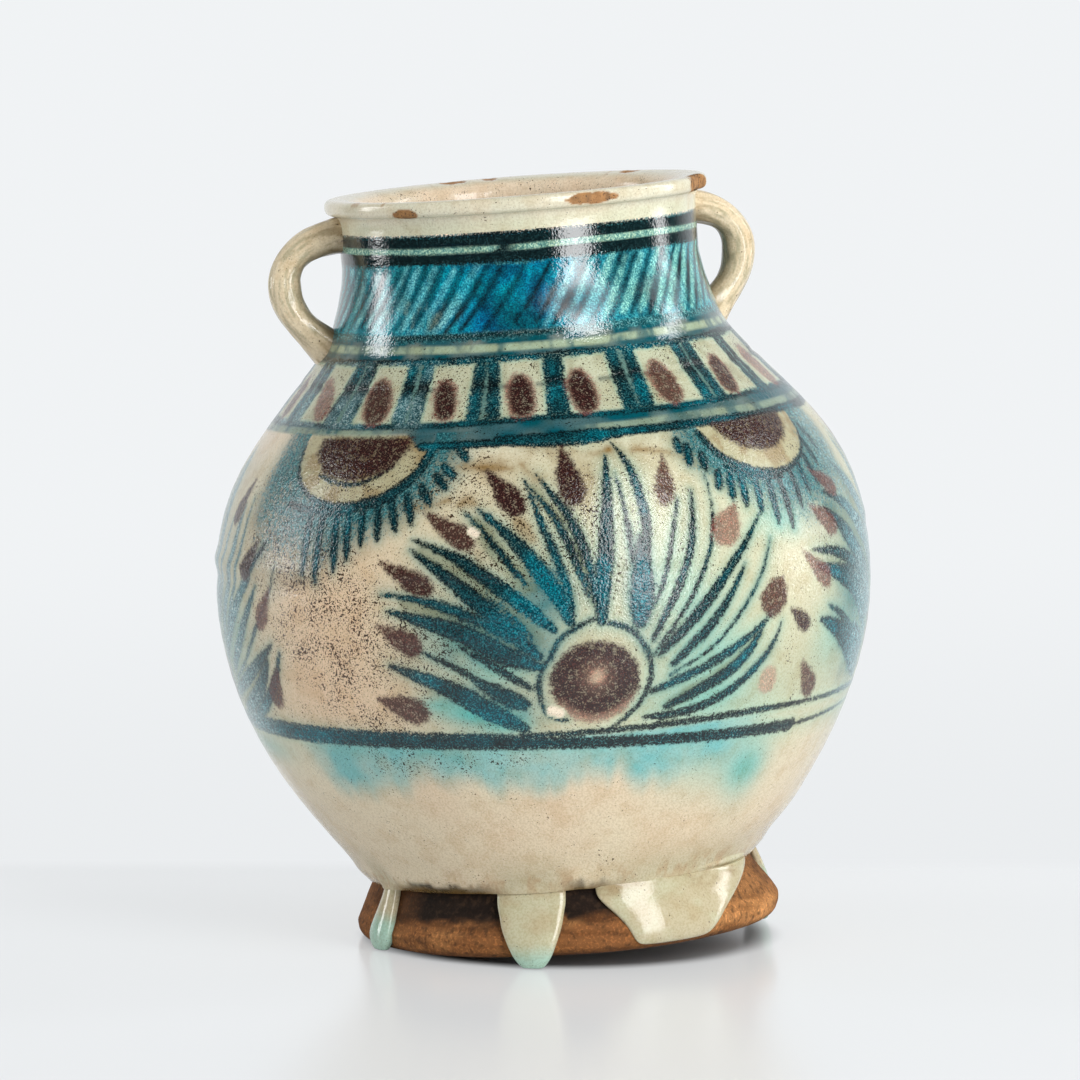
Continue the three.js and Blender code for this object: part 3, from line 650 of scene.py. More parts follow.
def paintWashes(wall):
    # the ground round the strokes: greener near the blue, then pools, veils and washes of thin colour
    ground, near = groundGlaze(wall), np.minimum(wall["blue"], 0)
    greener = 0.25 + zone(wall, 0.75, after=(-10, 30))
    ground = tinted(ground, "green", 0.7 * greener * np.exp(near / 4) * (1 - wall["onNeck"]))
    halo = np.exp(near / 1.5) * clouds(wall, 18, 41, 0.05, 0.45) * wall["onBelly"]
    ground = tinted(ground, "paleTurquoise", halo)
    bleed = np.exp(near) * clouds(wall, 7, 42, 0.1, 0.7) * wall["onBelly"]
    ground = tinted(ground, "washTeal", zone(wall, 0.8 * bleed, above=(60, 66)))
    patchy = clouds(wall, 3, 43, 0.4, 0.9)
    for turn in fan["turns"]:
        for row in fan["flood"]:
            ground = tinted(ground, "pool", spot(wall, row, turn) * patchy)
        for row in fan["soak"]:
            deepen(wall, "wash", fan["soaked"] * spot(wall, row, turn))
    patchy = clouds(wall, 12, 45, 0.6, 0.9)
    for row in groundLine["washes"]:
        ground = tinted(ground, "turquoise", spot(wall, row) * patchy)
    hang, level = groundLine["hang"], {"azimuth": wall["azimuth"], "height": 0 * wall["height"]}
    hem = hang["from"] + ragged(level, 12, 81, hang["sway"]) + ragged(level, 4, 82, 0.6 * hang["sway"])
    hung = ease(wall["height"], hem - hang["soft"], hem + hang["soft"])
    hung = zone(wall, hung, below=(56.5, 58.5), after=hang["left"], before=hang["right"])
    ground = tinted(ground, "lowWash", hung * clouds(wall, 7, 83, 0.5, 0.75, mottle))
    ground = tinted(ground, "veil", 0.6 * ease(wall["veil"], -0.7, 0.9) * clouds(wall, 4, 85, 0.5, 0.7))
    for row in fan["sideWash"]:
        deepen(wall, "wash", spot(wall, row))
    return tinted(ground, "washTeal", wall["wash"] * clouds(wall, 5, 71, 0.3, 0.8, mottle))


def paintStains(wall, ground):
    # yellowed crescents, the wash's grains of ink, a drip, brown stains, and burst bubbles bare of ink
    ground = tinted(ground, "crescent", 0.85 * wall["crescent"])
    ground = tinted(ground, "ochre", 0.5 * wall["crescent"] * blotches(wall, 4, 69, 0.45, 0.7))
    grains = 1.15 * wall["wash"] - 0.9
    wall["washed"] = ease(grains - wall["blue"], -0.2, 0.3)
    deepen(wall, "blue", grains)
    ground = tinted(ground, "drip", zone(wall, 0.6, around=(43, 6), level=(43, 9)))
    for width, *points in stains:
        brush(wall, "rusty", points, width, [0.5, 1.0, 0.6], 8)
    rust = np.exp(np.minimum(wall["rusty"] + ragged(wall, 2.5, 65, 0.9), 0) / 0.8)
    stain = zone(wall, 0.45 * blotches(wall, 5, 47, 0.4, 0.7), around=(2, 24), level=(127, 4))
    ground = tinted(ground, "ochre", stain + rust * clouds(wall, 4, 67, 0.2, 0.55))
    for width, *points in bubbles:
        brush(wall, "burst", points, width, [1, 1], 4)
    bare = ease(wall["burst"], -0.35, 0.35)
    for key in ("blue", "brown"):
        wall[key] = wall[key] - 6 * bare
    return tinted(ground, "bubble", bare)


def paintBand(wall, ground):
    # the cream band of the panels with its groove darkened, partly by ink caught in it and partly by painted
    # shade, and the blue borders with a pale line in each
    height, band, climb = wall["height"], wall["band"], wall["climb"]
    ground = tinted(ground, "panel", 0.75 * band)
    ground = tinted(ground, "ochre", 0.4 * band * blotches(wall, 5, 70, 0.52, 0.75))
    ground = tinted(ground, "paleTurquoise", 0.6 * band * ease(wall["blue"], -1.6, -0.1))
    ground = tinted(ground, "barGap", 0.75 * band * wall["barGap"])
    # darker along the groove: partly ink caught in it, partly painted shade in the groove
    caughtInkAndShade = ease(softNoise(wall["azimuth"], height, 4, 73), 0.5, 0.7)
    ground = tinted(ground, "ink", zone(wall, 0.6 * caughtInkAndShade, level=(unevenness["grooveHeight"], 0.6)))
    for low, high in ((129.8 + 3.4 * climb, 136.4), (150.2, 156)):
        border = zone(wall, ease(height - low, 0, 0.6), below=(high - 0.6, high))
        ground = tinted(ground, "inkBlue", border * clouds(wall, 6, 49, 0.75, 0.35))
    seen = 0.6 * (1 - zone(wall, after=(-34, -27), before=(6, 13)))
    for middle, half, seed, share in ((132.7 + 1.4 * climb, 0.85, 46, seen), (152.9, 0.95, 48, 0.95)):
        waver = 0.6 * (softNoise(wall["azimuth"], 0 * height, 24, seed) - 0.5)
        line = share * (1 - ease(np.abs(height - middle - waver), half * 0.55, half * 1.35))
        ground = tinted(ground, "paleLine", line * (0.25 + 0.75 * blotches(wall, 4, seed + 1, 0.3, 0.6)))
    return ground


def paintWater(wall):
    # the neck's blue glaze: brighter at the front, hatched pale and dark, with pools and a pale smear
    shape = wall["height"].shape
    bright = np.clip(zone(wall, around=(-4, 16)) + clouds(wall, 20, 51, 0, 0.55), 0, 1)
    water = tinted(filled(shape, "seaBlue"), "neckBlue", 0.75 * bright * blotches(wall, 8, 53, 0.35, 0.65))
    rightPart = zone(wall, after=(12, 34), before=(90, 120))
    water = tinted(water, "turquoise", 0.3 * rightPart + zone(wall, 0.2, before=(-45, -20)))
    hatch = tinted(filled(shape, "leftHatch"), "paleHatch", rightPart)
    uneven = np.clip(clouds(wall, 9, 57, -0.12, 1.7, mottle), 0, 1)
    water = tinted(water, hatch, 0.95 * ease(wall["pale"], -0.7, 0.6) * uneven)
    for azimuth, height, wide, tall, name, amount in neckBand["pools"]:
        water = tinted(water, name, spot(wall, (azimuth, height, wide, tall, amount)))
    onLeft = zone(wall, before=(-36, -18))
    dark = (1 - 0.2 * onLeft) * ease(wall["deep"] + ragged(wall, 3, 58, 0.9), -0.8, 0.8)
    water = tinted(water, "deepTeal", dark * clouds(wall, 9, 56, 0.55, 0.6))
    water = tinted(water, "deepTeal", 0.5 * (1 - 0.5 * onLeft) * blotches(wall, 6, 54, 0.48, 0.74))
    for row in neckBand["deeps"]:
        water = tinted(water, "deepTeal", spot(wall, row) * clouds(wall, 3, 52, 0.5, 0.8, mottle))
    smear = 0.4 * blotches(wall, 4, 55, 0.4, 0.7)
    return tinted(water, "paleLine", zone(wall, smear, around=(-34, 9), level=(161, 4)))


def paintCollar(wall, ground):
    # the neck's water, and above it a black band with a pale ring, then the lip's cream
    paintNeck(wall)
    ground = tinted(ground, paintWater(wall), wall["onNeck"])
    waver = 0.5 * (softNoise(wall["azimuth"], 0 * wall["height"], 22, 59) - 0.5)
    ring = 1 - ease(np.abs(wall["height"] - 177.4 - waver), 0.55, 1.0)
    ground = tinted(ground, "black", zone(wall, 0.95, above=(173.8, 174.4), below=(180.4, 180.8)))
    ground = tinted(ground, "paleTurquoise", 0.85 * ring * (1 - zone(wall, 0.9, around=(-4, 3))))
    return tinted(ground, "lip", zone(wall, above=(180.6, 181.4)))


# Where the ink is bluer: azimuth, height, spread round, spread up and amount
cobaltSpots = [
    (0.5, 95, 4.5, 6, 0.75), (-4.5, 87, 5.5, 6, 0.75), (-10, 63, 7, 4, 0.75), (74, 70, 8, 10, 0.75),
    (30, 150.5, 8, 2.5, 0.75), (-46, 58.5, 12, 4, 0.75),
]


def inkTones(wall):
    # ink bluer in blotches, darker at its edges, paler at the urn's sides (thin ink and painted sheen), black
    # on the heavy lines
    shade, band = mottle(wall["azimuth"], wall["height"], 9, 61), wall["band"]
    ink = tinted(filled(shade.shape, "ink"), "inkBlue", 1.1 * ease(shade, 0.35, 0.75))
    edge = (1 - ease(wall["blue"], 0.35, 1.0)) * (1.2 - 0.6 * shade)
    ink = tinted(ink, "inkDark", 0.9 * (1 - 0.6 * band) * edge)
    for row in cobaltSpots:
        ink = tinted(ink, "cobalt", spot(wall, row))
    ink = tinted(ink, "washTeal", 0.8 * wall["washed"])
    # paler ink towards the silhouettes seen from the front: partly thin ink, partly a painted sheen where the
    # wall turns away
    aside = np.abs(wrapTurn(wall["azimuth"] - 3))
    ink = tinted(ink, "sideInkAndSheen", 0.6 * ease(aside, 58, 76) * (1 - ease(aside, 86, 125)) * wall["onBelly"])
    ink = tinted(ink, "sideInkAndSheen", zone(wall, 0.42 * band * blotches(wall, 4, 87, 0.3, 0.6), before=(-30, -20)))
    lined = zone(wall, level=(56.2, 4.5), after=(-48, -40), before=(52, 64))
    underNeck = zone(wall, 0.75, level=(156, 1.3), after=(-48, -36), before=(4, 22))
    # ink black along the groove: partly ink caught in it, partly painted shade in the groove
    grooveBlackAndShade = zone(wall, 0.95 * band, level=(unevenness["grooveHeight"] + 0.8, 1.7))
    dark = np.maximum(np.maximum(zone(wall, above=(173, 174)), lined + underNeck), grooveBlackAndShade)
    return tinted(ink, "black", 0.9 * dark * (1 - 0.35 * lined))


def speckTones(wall):
    # how thick the specks lie: most on the left of the belly, few low down, almost none on the neck
    specks = 0.28 + zone(wall, 0.75, around=(-47, 22), above=(54, 62), below=(112, 128))
    for row in ((-8, 112, 34, 17, 0.35), (-14, 90, 22, 26, 0.45), (-33, 52, 20, 5, 0.45)):
        specks = specks + spot(wall, row)
    specks = specks + zone(wall, 0.12, below=(22, 34)) + 0.3 * wall["band"]
    specks = specks * (1 - 0.9 * wall["onNeck"]) * (0.4 + zone(wall, 0.6, above=(42, 52)))
    return np.clip(specks * clouds(wall, 13, 63, 0.35, 1.2), 0, 1)


def paintWall(azimuth, height):
    # all the brushwork at points of the wall: ground colour, ink depths in mm, ink colour and specks
    wall = {"azimuth": azimuth, "height": height, "radius": wallRadius(height), "length": wallLength(height)}
    wall["climb"] = zone(wall, after=(-135, -68), before=(-28, -23))
    wall["onNeck"], wall["onBelly"] = zone(wall, above=(154.6, 157)), zone(wall, below=(127, 131))
    wall["band"] = zone(wall, above=(134.2, 136), below=(149.6, 150.6))
    for key in ("barGap", "wash", "crescent", "fade"):
        wall[key] = np.zeros(azimuth.shape)
    for key in ("blue", "brown", "deep", "pale", "veil", "rusty", "burst"):
        wall[key] = np.full(azimuth.shape, unpainted)
    for turn in fan["turns"]:
        paintFan(wall, turn)
    for kind, turn in lunettes["places"]:
        paintLunette(wall, kind, turn)
    paintPanels(wall)
    wall["brown"] = wall["brown"] + ragged(wall, 2.6, 89, 0.9)
    brush(wall, "blue", groundLine["path"], groundLine["widths"], [1, 1], 60)
    brush(wall, "blue", groundLine["tail"], groundLine["tailWidth"], groundLine["tailShape"], 10)
    ground = paintBand(wall, paintStains(wall, paintWashes(wall)))
    if height.max() > neckBand["from"]:
        ground = paintCollar(wall, ground)
    dry = sum(zone(wall, amount, around=(a, wide), level=(163, 4.2)) for a, wide, amount in neckBand["dull"])
    return {
        "ground": ground, "blueInk": wall["blue"], "inkColour": inkTones(wall), "brownInk": wall["brown"],
        "brownFade": wall["fade"], "specks": speckTones(wall), "dry": dry, "grain": 0.85 * wall["onNeck"],
    }


def plainGlaze(colour, specks):
    # the same set of layers with no brushwork
    flat = np.zeros(colour.shape[:-1])
    return {
        "ground": colour, "inkColour": colour * 0.3, "blueInk": flat + unpainted,
        "brownInk": flat + unpainted, "brownFade": flat, "specks": flat + specks, "dry": flat, "grain": flat,
    }


def insideGlaze(at):
    # the cream lining, blotched and thinner in places
    colour = tinted(filled(at["azimuth"].shape, "inside"), "lip", 0.4 * blotches(at, 20, 91, 0.4, 0.7))
    return plainGlaze(tinted(colour, "worn", 0.5 * blotches(at, 9, 95, 0.62, 0.8)), 0.15)


def addPiece(name, node, points, layers, material, closed=False, capped=False, sharp=50):
    # quads between neighbouring rows and columns of a grid that wraps round; fans close the two ends
    rows, cols = points.shape[:2]
    index = np.arange(rows * cols).reshape(rows, cols)
    low, high = (index, np.roll(index, -1, 0)) if closed else (index[:-1], index[1:])
    quads = np.stack([low, np.roll(low, -1, 1), np.roll(high, -1, 1), high], -1).reshape(-1, 4)
    spots, faces = points.reshape(-1, 3), quads.tolist()
    values = {key: value.reshape(rows * cols, -1) for key, value in layers.items()}
    if capped:
        first, last, count = index[0], index[-1], rows * cols
        spots = np.concatenate([spots, [points[0].mean(0)], [points[-1].mean(0)]])
        for key, value in values.items():
            values[key] = np.concatenate([value, value[first].mean(0)[None], value[last].mean(0)[None]])
        faces += np.stack([np.roll(first, -1), first, np.full(cols, count)], -1).tolist()
        faces += np.stack([last, np.roll(last, -1), np.full(cols, count + 1)], -1).tolist()
    mesh = bpy.data.meshes.new(name)
    mesh.from_pydata(spots.tolist(), [], faces)
    mesh.shade_smooth()
    mesh.set_sharp_from_angle(angle=math.radians(sharp))
    for key, value in values.items():
        if value.shape[1] == 3:
            data = np.concatenate([value, np.ones((len(value), 1))], 1).astype(np.float32)
            mesh.attributes.new(key, "FLOAT_COLOR", "POINT").data.foreach_set("color", data.ravel())
        else:
            data = value.astype(np.float32).ravel()
            mesh.attributes.new(key, "FLOAT", "POINT").data.foreach_set("value", data)
    mesh.materials.append(material)
    piece = bpy.data.objects.new(name, mesh)
    bpy.context.collection.objects.link(piece)
    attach(piece, "root")
    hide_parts(node)
    print("made", name, "with", len(faces), "faces")


def addNode(tree, kind, settings=None, **inputs):
    # one shader node; an input is a value, or another node's socket to link
    node = tree.nodes.new(kind)
    for key, value in (settings or {}).items():
        setattr(node, key, value)
    for key, value in inputs.items():
        numbered = key[0] == "i" and key[1:].isdigit()
        socket = node.inputs[int(key[1:])] if numbered else node.inputs[key.replace("_", " ")]
        if isinstance(value, bpy.types.NodeSocket):
            tree.links.new(value, socket)
        else:
            socket.default_value = value
    return node


def mixColour(tree, share, first, second, kind="MIX"):
    # colour mix by a share
    settings = {"data_type": "RGBA", "blend_type": kind}
    return addNode(tree, "ShaderNodeMix", settings, i0=share, i6=first, i7=second).outputs[2]


def remap(tree, value, low, high, toLow=0.0, toHigh=1.0):
    # smooth step between two limits
    settings = {"interpolation_type": "SMOOTHSTEP"}
    limits = {"From_Min": low, "From_Max": high, "To_Min": toLow, "To_Max": toHigh}
    return addNode(tree, "ShaderNodeMapRange", settings, Value=value, **limits).outputs[0]


def maths(tree, operation, first, second=0.0, third=0.0):
    # one arithmetic step
    return addNode(tree, "ShaderNodeMath", {"operation": operation}, i0=first, i1=second, i2=third).outputs[0]


def grain(tree, coords, scale, detail=2.0):
    # noise of about 1/scale metres
    return addNode(tree, "ShaderNodeTexNoise", None, Vector=coords, Scale=scale, Detail=detail).outputs["Fac"]


def grained(tree, colour, rows):
    # colour multiplied by a tint, by a share that steps from one level to another as a noise rises
    for noise, low, high, atLow, atHigh, tint in rows:
        share = remap(tree, noise, low, high, atLow, atHigh)
        colour = mixColour(tree, share, colour, (*tint, 1), "MULTIPLY")
    return colour


def newMaterial(name):
    # a material, its node tree, its shader and the part's own coordinates
    material = bpy.data.materials.new(name)
    material.use_nodes = True
    tree = material.node_tree
    coords = addNode(tree, "ShaderNodeTexCoord").outputs["Object"]
    return material, tree, tree.nodes["Principled BSDF"], coords


def layer(tree, key):
    # the sockets of an attribute that the mesh carries
    return addNode(tree, "ShaderNodeAttribute", {"attribute_name": key}).outputs


def coat(tree, shader, colour, index, height, strength, depth):
    # base colour, index of refraction and a bump
    tree.links.new(colour, shader.inputs["Base Color"])
    shader.inputs["IOR"].default_value = index
    bump = addNode(tree, "ShaderNodeBump", None, Strength=strength, Distance=depth, Height=height)
    tree.links.new(bump.outputs[0], shader.inputs["Normal"])


# Glaze: fine, middle, broad and gritty noises as scale per metre and detail, and specks as scale and share
glazeFinish = {
    "noises": [(1900.0, 1.0), (720.0, 3.0), (170.0, 5.0), (2500.0, 1.0)], "peelScale": 900.0, "bump": 0.0004,
    "specks": [(3000.0, 0.82), (1500.0, 0.72)], "speckLimit": 0.705, "speckRise": 0.14, "clumpScale": 190.0,
    "speckTint": (0.12, 0.075, 0.055), "dryness": 0.1, "chipDryness": 0.5, "edgeGrain": 1.5,
    "brownGrain": 2.25, "brown": (0.026, 0.0098, 0.0086, 1), "brownFaded": (0.3, 0.1, 0.075, 1),
}


def inkedColour(tree, colour, fine, middle, grit):
    # blue and then brown brushwork over a colour, with grainy edges and grains of light and dark in them
    rough = maths(tree, "SUBTRACT", maths(tree, "ADD", fine, middle), 1.0)
    depth = layer(tree, "blueInk")["Fac"]
    edge = maths(tree, "MULTIPLY_ADD", rough, glazeFinish["edgeGrain"], depth)
    solid = remap(tree, grit, 0.54, 0.68, 1.0, remap(tree, depth, 0.8, 1.7, 0.62, 0.96))
    cover = maths(tree, "MULTIPLY", remap(tree, edge, -0.45, 0.4), solid)
    ink = grained(tree, layer(tree, "inkColour")["Color"], [
        (middle, 0.45, 0.75, 0.0, 0.6, (3.0, 1.9, 1.8)), (middle, 0.34, 0.5, 0.7, 0.0, (0.42, 0.48, 0.5)),
        (grit, 0.38, 0.5, 0.85, 0.0, (0.28, 0.34, 0.37)), (grit, 0.52, 0.64, 0.0, 0.85, (4.4, 2.6, 2.4)),
    ])
    colour = mixColour(tree, cover, colour, ink)
    faded = layer(tree, "brownFade")["Fac"]
    brown = mixColour(tree, faded, glazeFinish["brown"], glazeFinish["brownFaded"])
    brown = grained(tree, brown, [(grit, 0.5, 0.64, 0.0, 0.85, (3.2, 2.8, 2.6))])
    edge = maths(tree, "MULTIPLY_ADD", rough, glazeFinish["brownGrain"], layer(tree, "brownInk")["Fac"])
    solid = remap(tree, maths(tree, "ADD", grit, middle), 1.02, 1.25, 1.0, 0.7)
    cover = maths(tree, "MULTIPLY", remap(tree, edge, -0.9, 0.7), solid)
    cover = maths(tree, "MULTIPLY", cover, maths(tree, "MULTIPLY_ADD", faded, -0.6, 1.0))
    return mixColour(tree, cover, colour, brown)


def glazeMaterial(name, roughness, inks, peel, index):
    # ground colour, then specks and brushwork, under a glossy pitted glaze
    material, tree, shader, coords = newMaterial(name)
    fine, middle, broad, grit = (grain(tree, coords, *noise) for noise in glazeFinish["noises"])
    colour = grained(tree, layer(tree, "ground")["Color"], [
        (broad, 0.45, 0.7, 0.0, 0.4, (0.8, 0.68, 0.54)), (fine, 0.32, 0.62, 0.38, 0.0, (0.68, 0.61, 0.5)),
    ])
    if inks:
        grainy = layer(tree, "grain")["Fac"]
        colour = grained(tree, colour, [
            (middle, 0.36, 0.5, grainy, 0.0, (0.42, 0.6, 0.66)),
            (grit, 0.38, 0.5, grainy, 0.0, (0.25, 0.45, 0.55)),
            (grit, 0.52, 0.66, 0.0, grainy, (2.4, 1.75, 1.6)),
        ])
    density = layer(tree, "specks")["Fac"]
    limit = maths(tree, "MULTIPLY_ADD", density, -glazeFinish["speckRise"], glazeFinish["speckLimit"])
    for scale, share in glazeFinish["specks"]:
        clump = maths(tree, "MULTIPLY", grain(tree, coords, glazeFinish["clumpScale"], 2.0), 1.0 - share)
        level = maths(tree, "MULTIPLY_ADD", grain(tree, coords, scale, 1.0), share, clump)
        level = maths(tree, "SUBTRACT", level, limit)
        colour = grained(tree, colour, [(level, 0.0, 0.025, 0.0, 0.95, glazeFinish["speckTint"])])
    colour = inkedColour(tree, colour, fine, middle, grit) if inks else colour
    shine = remap(tree, middle, 0.3, 0.7, roughness - 0.03, roughness + 0.05)
    for dull, gain in ((layer(tree, "dry")["Fac"], "chipDryness"), (density, "dryness")):
        shine = maths(tree, "MULTIPLY_ADD", dull, glazeFinish[gain], shine)
    tree.links.new(shine, shader.inputs["Roughness"])
    height = maths(tree, "MULTIPLY_ADD", fine, 0.9, grain(tree, coords, glazeFinish["peelScale"]))
    coat(tree, shader, colour, index, height, peel, glazeFinish["bump"])
    return material


# Clay: scale of the streaks along X, Y and Z, of the grit and of the pits, per metre
clayFinish = {
    "streaks": (70.0, 70.0, 380.0), "grit": 1500.0, "pits": 620.0, "pitColour": (0.045, 0.024, 0.012, 1),
    "roughness": 0.85, "index": 1.3, "bump": 0.0006, "bumpStrength": 0.55,
}


def clayMaterial(name):
    # bare fired clay: ground colour broken by streaks round the foot, pits and pale grit, dull
    material, tree, shader, coords = newMaterial(name)
    stretched = addNode(tree, "ShaderNodeMapping", None, Vector=coords, Scale=clayFinish["streaks"])
    streak = grain(tree, stretched.outputs[0], 1.0, 4.0)
    grit, pits = grain(tree, coords, clayFinish["grit"], 4.0), grain(tree, coords, clayFinish["pits"], 4.0)
    colour = grained(tree, layer(tree, "ground")["Color"], [
        (streak, 0.42, 0.7, 0.0, 0.6, (0.34, 0.29, 0.24)), (grit, 0.5, 0.66, 0.0, 0.8, (1.75, 1.65, 1.55)),
    ])
    colour = mixColour(tree, remap(tree, pits, 0.5, 0.68, 0.0, 0.6), colour, clayFinish["pitColour"])
    shader.inputs["Roughness"].default_value = clayFinish["roughness"]
    height = 0.0
    for noise, gain in ((streak, 0.7), (grit, 0.5), (pits, 0.8)):
        height = maths(tree, "MULTIPLY_ADD", noise, gain, height)
    coat(tree, shader, colour, clayFinish["index"], height, clayFinish["bumpStrength"], clayFinish["bump"])
    return material


paintedGlaze = glazeMaterial("paintedGlaze", 0.07, True, 0.36, 1.52)
blueGlaze = glazeMaterial("blueGlaze", 0.05, True, 0.14, 1.7)
creamGlaze = glazeMaterial("creamGlaze", 0.12, False, 0.12, 1.5)
pooledGlaze = glazeMaterial("pooledGlaze", 0.07, False, 0.08, 1.5)
bareClay = clayMaterial("bareClay")
print("materials made")


def turned(section, columns):
    # azimuth, radius and height of a section in (radius, height) turned round the axis
    azimuth, section = np.linspace(0, 360, columns, endpoint=False), np.array(section, float)
    across, high = (np.repeat(section[:, k:k + 1], columns, 1) for k in range(2))
    return np.repeat(azimuth[None], len(section), 0), across, high


def wallPiece(name, node, material, levels, rest, columns, capped=False, lead=0):
    # rows up the outside of the wall, between the first and the rest of the section in (radius, height)
    turn, across, high = turned(rest[:lead] + list(zip(wallRadius(levels), levels)) + rest[lead:], columns)
    outside = slice(lead, lead + len(levels))
    across[outside] += handMade({"azimuth": turn[outside], "height": high[outside]})
    layers = insideGlaze({"azimuth": turn, "height": high})
    for key, value in paintWall(turn[outside].ravel(), high[outside].ravel()).items():
        layers[key] = np.array(layers[key])
        layers[key][outside] = value.reshape(layers[key][outside].shape)
    points = place(turn, across, high)
    addPiece(name, node, points, layers, material, closed=not capped, capped=capped)


def innerWall(start, end, count):
    # points of the wall's inside between two heights
    return [(float(wallRadius(h)) - body["wall"], h) for h in np.linspace(start, end, count)]


bowlGrid = {
    "columns": 740, "lowSpacing": 1.3, "paintedFrom": 46.0, "spacing": 0.62, "axis": 1.5, "under": 30.0,
}
seamMiddle = float(wallRadius(body["seam"])) - body["wall"] / 2
cornerRadius, floorRadius = (float(wallRadius(body[key])) - body["wall"] for key in ("cornerTop", "floorTop"))
corner = [(cornerRadius, body["cornerTop"]), (floorRadius, body["floorTop"])]
corner = bezier(corner + [(cornerRadius - body["cornerRun"], body["floorTop"])], 5)
bowlLevels = np.concatenate([
    wallLevels(body["footHeight"], bowlGrid["paintedFrom"], bowlGrid["lowSpacing"])[:-1],
    wallLevels(bowlGrid["paintedFrom"], body["seam"], bowlGrid["spacing"]),
])
bowlRest = [(bowlGrid["axis"], body["footHeight"]), (bowlGrid["under"], body["footHeight"])]
bowlRest += [(seamMiddle, body["seam"] + body["tongue"])] + innerWall(body["seam"], body["cornerTop"], 8)
bowlRest += [tuple(point) for point in corner[1:]] + [(bowlGrid["axis"], body["floorTop"])]
wallPiece("lowerBowl", "lower_bowl", paintedGlaze, bowlLevels, bowlRest, bowlGrid["columns"],
    capped=True, lead=2)

shoulderGrid = {"columns": 800, "spacing": 0.58}
shoulderLevels = wallLevels(body["seam"], body["rootHeight"], shoulderGrid["spacing"])
shoulderRest = innerWall(body["rootHeight"] - body["seatDrop"], body["seam"] + body["slip"], 11)
shoulderRest += [(seamMiddle, body["seam"] + body["slip"] + body["tongue"])]
wallPiece("shoulder", "shoulder", paintedGlaze, shoulderLevels, shoulderRest,
    shoulderGrid["columns"])

neckGrid = {"columns": 1000, "spacing": 0.42}
neckLevels = wallLevels(body["rootHeight"], body["lipSeat"], neckGrid["spacing"])
neckRest = innerWall(body["lipSeat"], body["rootHeight"] + body["slip"] - body["seatDrop"], 8)
wallPiece("neck", "neck", blueGlaze, neckLevels, neckRest, neckGrid["columns"])

# Lip in degrees and mm: chips as azimuth, half arc, height, half height and depth, inner ones with no height
rimWear = {
    "columns": 900, "innerChips": [(-158, 6, 0.7), (-172, 3, 0.6), (139, 4, 0.6)],
    "chips": [
        (-35, 4.6, 186.9, 1.5, 0.5), (23.5, 8.6, 188.0, 1.6, 0.5), (76, 11.0, 187.8, 3.2, 1.6),
        (-118, 5, 188.6, 1.2, 0.7), (150, 7, 188.4, 1.4, 0.8),
    ],
}


def lipSection():
    # seat, cove, rolled band, crown and the slope down into the mouth, then down the inside to the seat
    mouth, inner, seat = body["neck"] - body["wall"], body["lip"] - body["lipRound"], body["lipSeat"]
    lip, top, foot = body["lip"], body["lipTop"], body["lipTop"] - body["lipBand"]
    cove = bezier([(body["neck"], seat), (body["neck"], foot), (inner, foot)], 12)
    under = bezier([(inner, foot), (lip, foot), (lip, foot + body["lipRound"])], 8)
    over = bezier([(lip, top - body["lipRound"]), (lip, top), (inner, top)], 8)
    crown = bezier([(inner, top), (mouth, top), (mouth, top - body["lipInnerDrop"])], 16)
    return np.concatenate([cove, under[1:], over, crown[1:], [(mouth, seat + 1.6), (mouth, seat)]])


def makeRim():
    # the lip's section turned round the axis, with flakes pressed in where it was chipped
    turn, across, high = turned(lipSection(), rimWear["columns"])
    at, twice = {"azimuth": turn, "height": high}, {"azimuth": turn, "height": high * 2}
    blotched = ease(mottle(turn, high * 3, 15, 101), 0.45, 0.7)
    colour = tinted(filled(turn.shape, "lip"), "inside", 0.2 * blotched)
    colour = tinted(colour, "green", zone(at, 0.35, below=(183, 186)))
    colour = tinted(colour, "worn", zone(at, 0.6 * blotches(twice, 6, 105, 0.68, 0.78), above=(188.4, 189.8)))
    wave = 0.35 * (softNoise(turn, 0 * turn, 30, 111) - 0.5) + clouds(at, 5, 113, -0.06, 0.12)
    dry, sink = np.zeros(turn.shape), np.zeros(turn.shape)
    for azimuth, half, middle, tall, depth in rimWear["chips"]:
        flake = 1 - np.hypot(wrapTurn(turn - azimuth) / half, (high - middle) / tall)
        flake = np.where(across > body["neck"] + 1.0, flake + ragged(at, 3.0, 121, 0.35), -1)
        wave = wave - depth * ease(flake, 0.0, 0.5) * clouds(at, 2.5, 123, 0.95, 0.1)
        dry = np.maximum(dry, ease(flake, -0.02, 0.1))
        bare = glazeColours["worn"] * clouds(at, 2, 125, 0.6, 0.6)[..., None]
        colour = tinted(colour, bare, ease(flake, -0.02, 0.1))
    crown = zone(at, hump(across, 45.5, 1.6), above=(188, 189.5))
    for azimuth, half, depth in rimWear["innerChips"]:
        flake = crown * (1 - np.abs(wrapTurn(turn - azimuth)) / half + clouds(at, 3, 131, -0.25, 0.5))
        sink = sink + depth * ease(flake, 0.05, 0.5)
        colour = tinted(colour, "worn", ease(flake, 0.05, 0.2))
    settle = ease(high, body["lipSeat"], body["lipSeat"] + 2)
    rise = 0.25 * settle * (softNoise(turn, 0 * turn, 38, 115) - 0.5)
    mouth = ease(across, body["neck"] - 2.2, body["neck"] - 5.0)
    colour = tinted(colour, "inside", 0.85 * mouth * clouds(twice, 8, 117, 0.5, 0.6, mottle))
    layers = dict(plainGlaze(colour, 0.12 + 0.5 * dry + 0.25 * mouth), dry=dry)
    points = place(turn, across + settle * wave, high - sink + rise)
    addPiece("rim", "rim", points, layers, creamGlaze, closed=True, sharp=60)


makeRim()


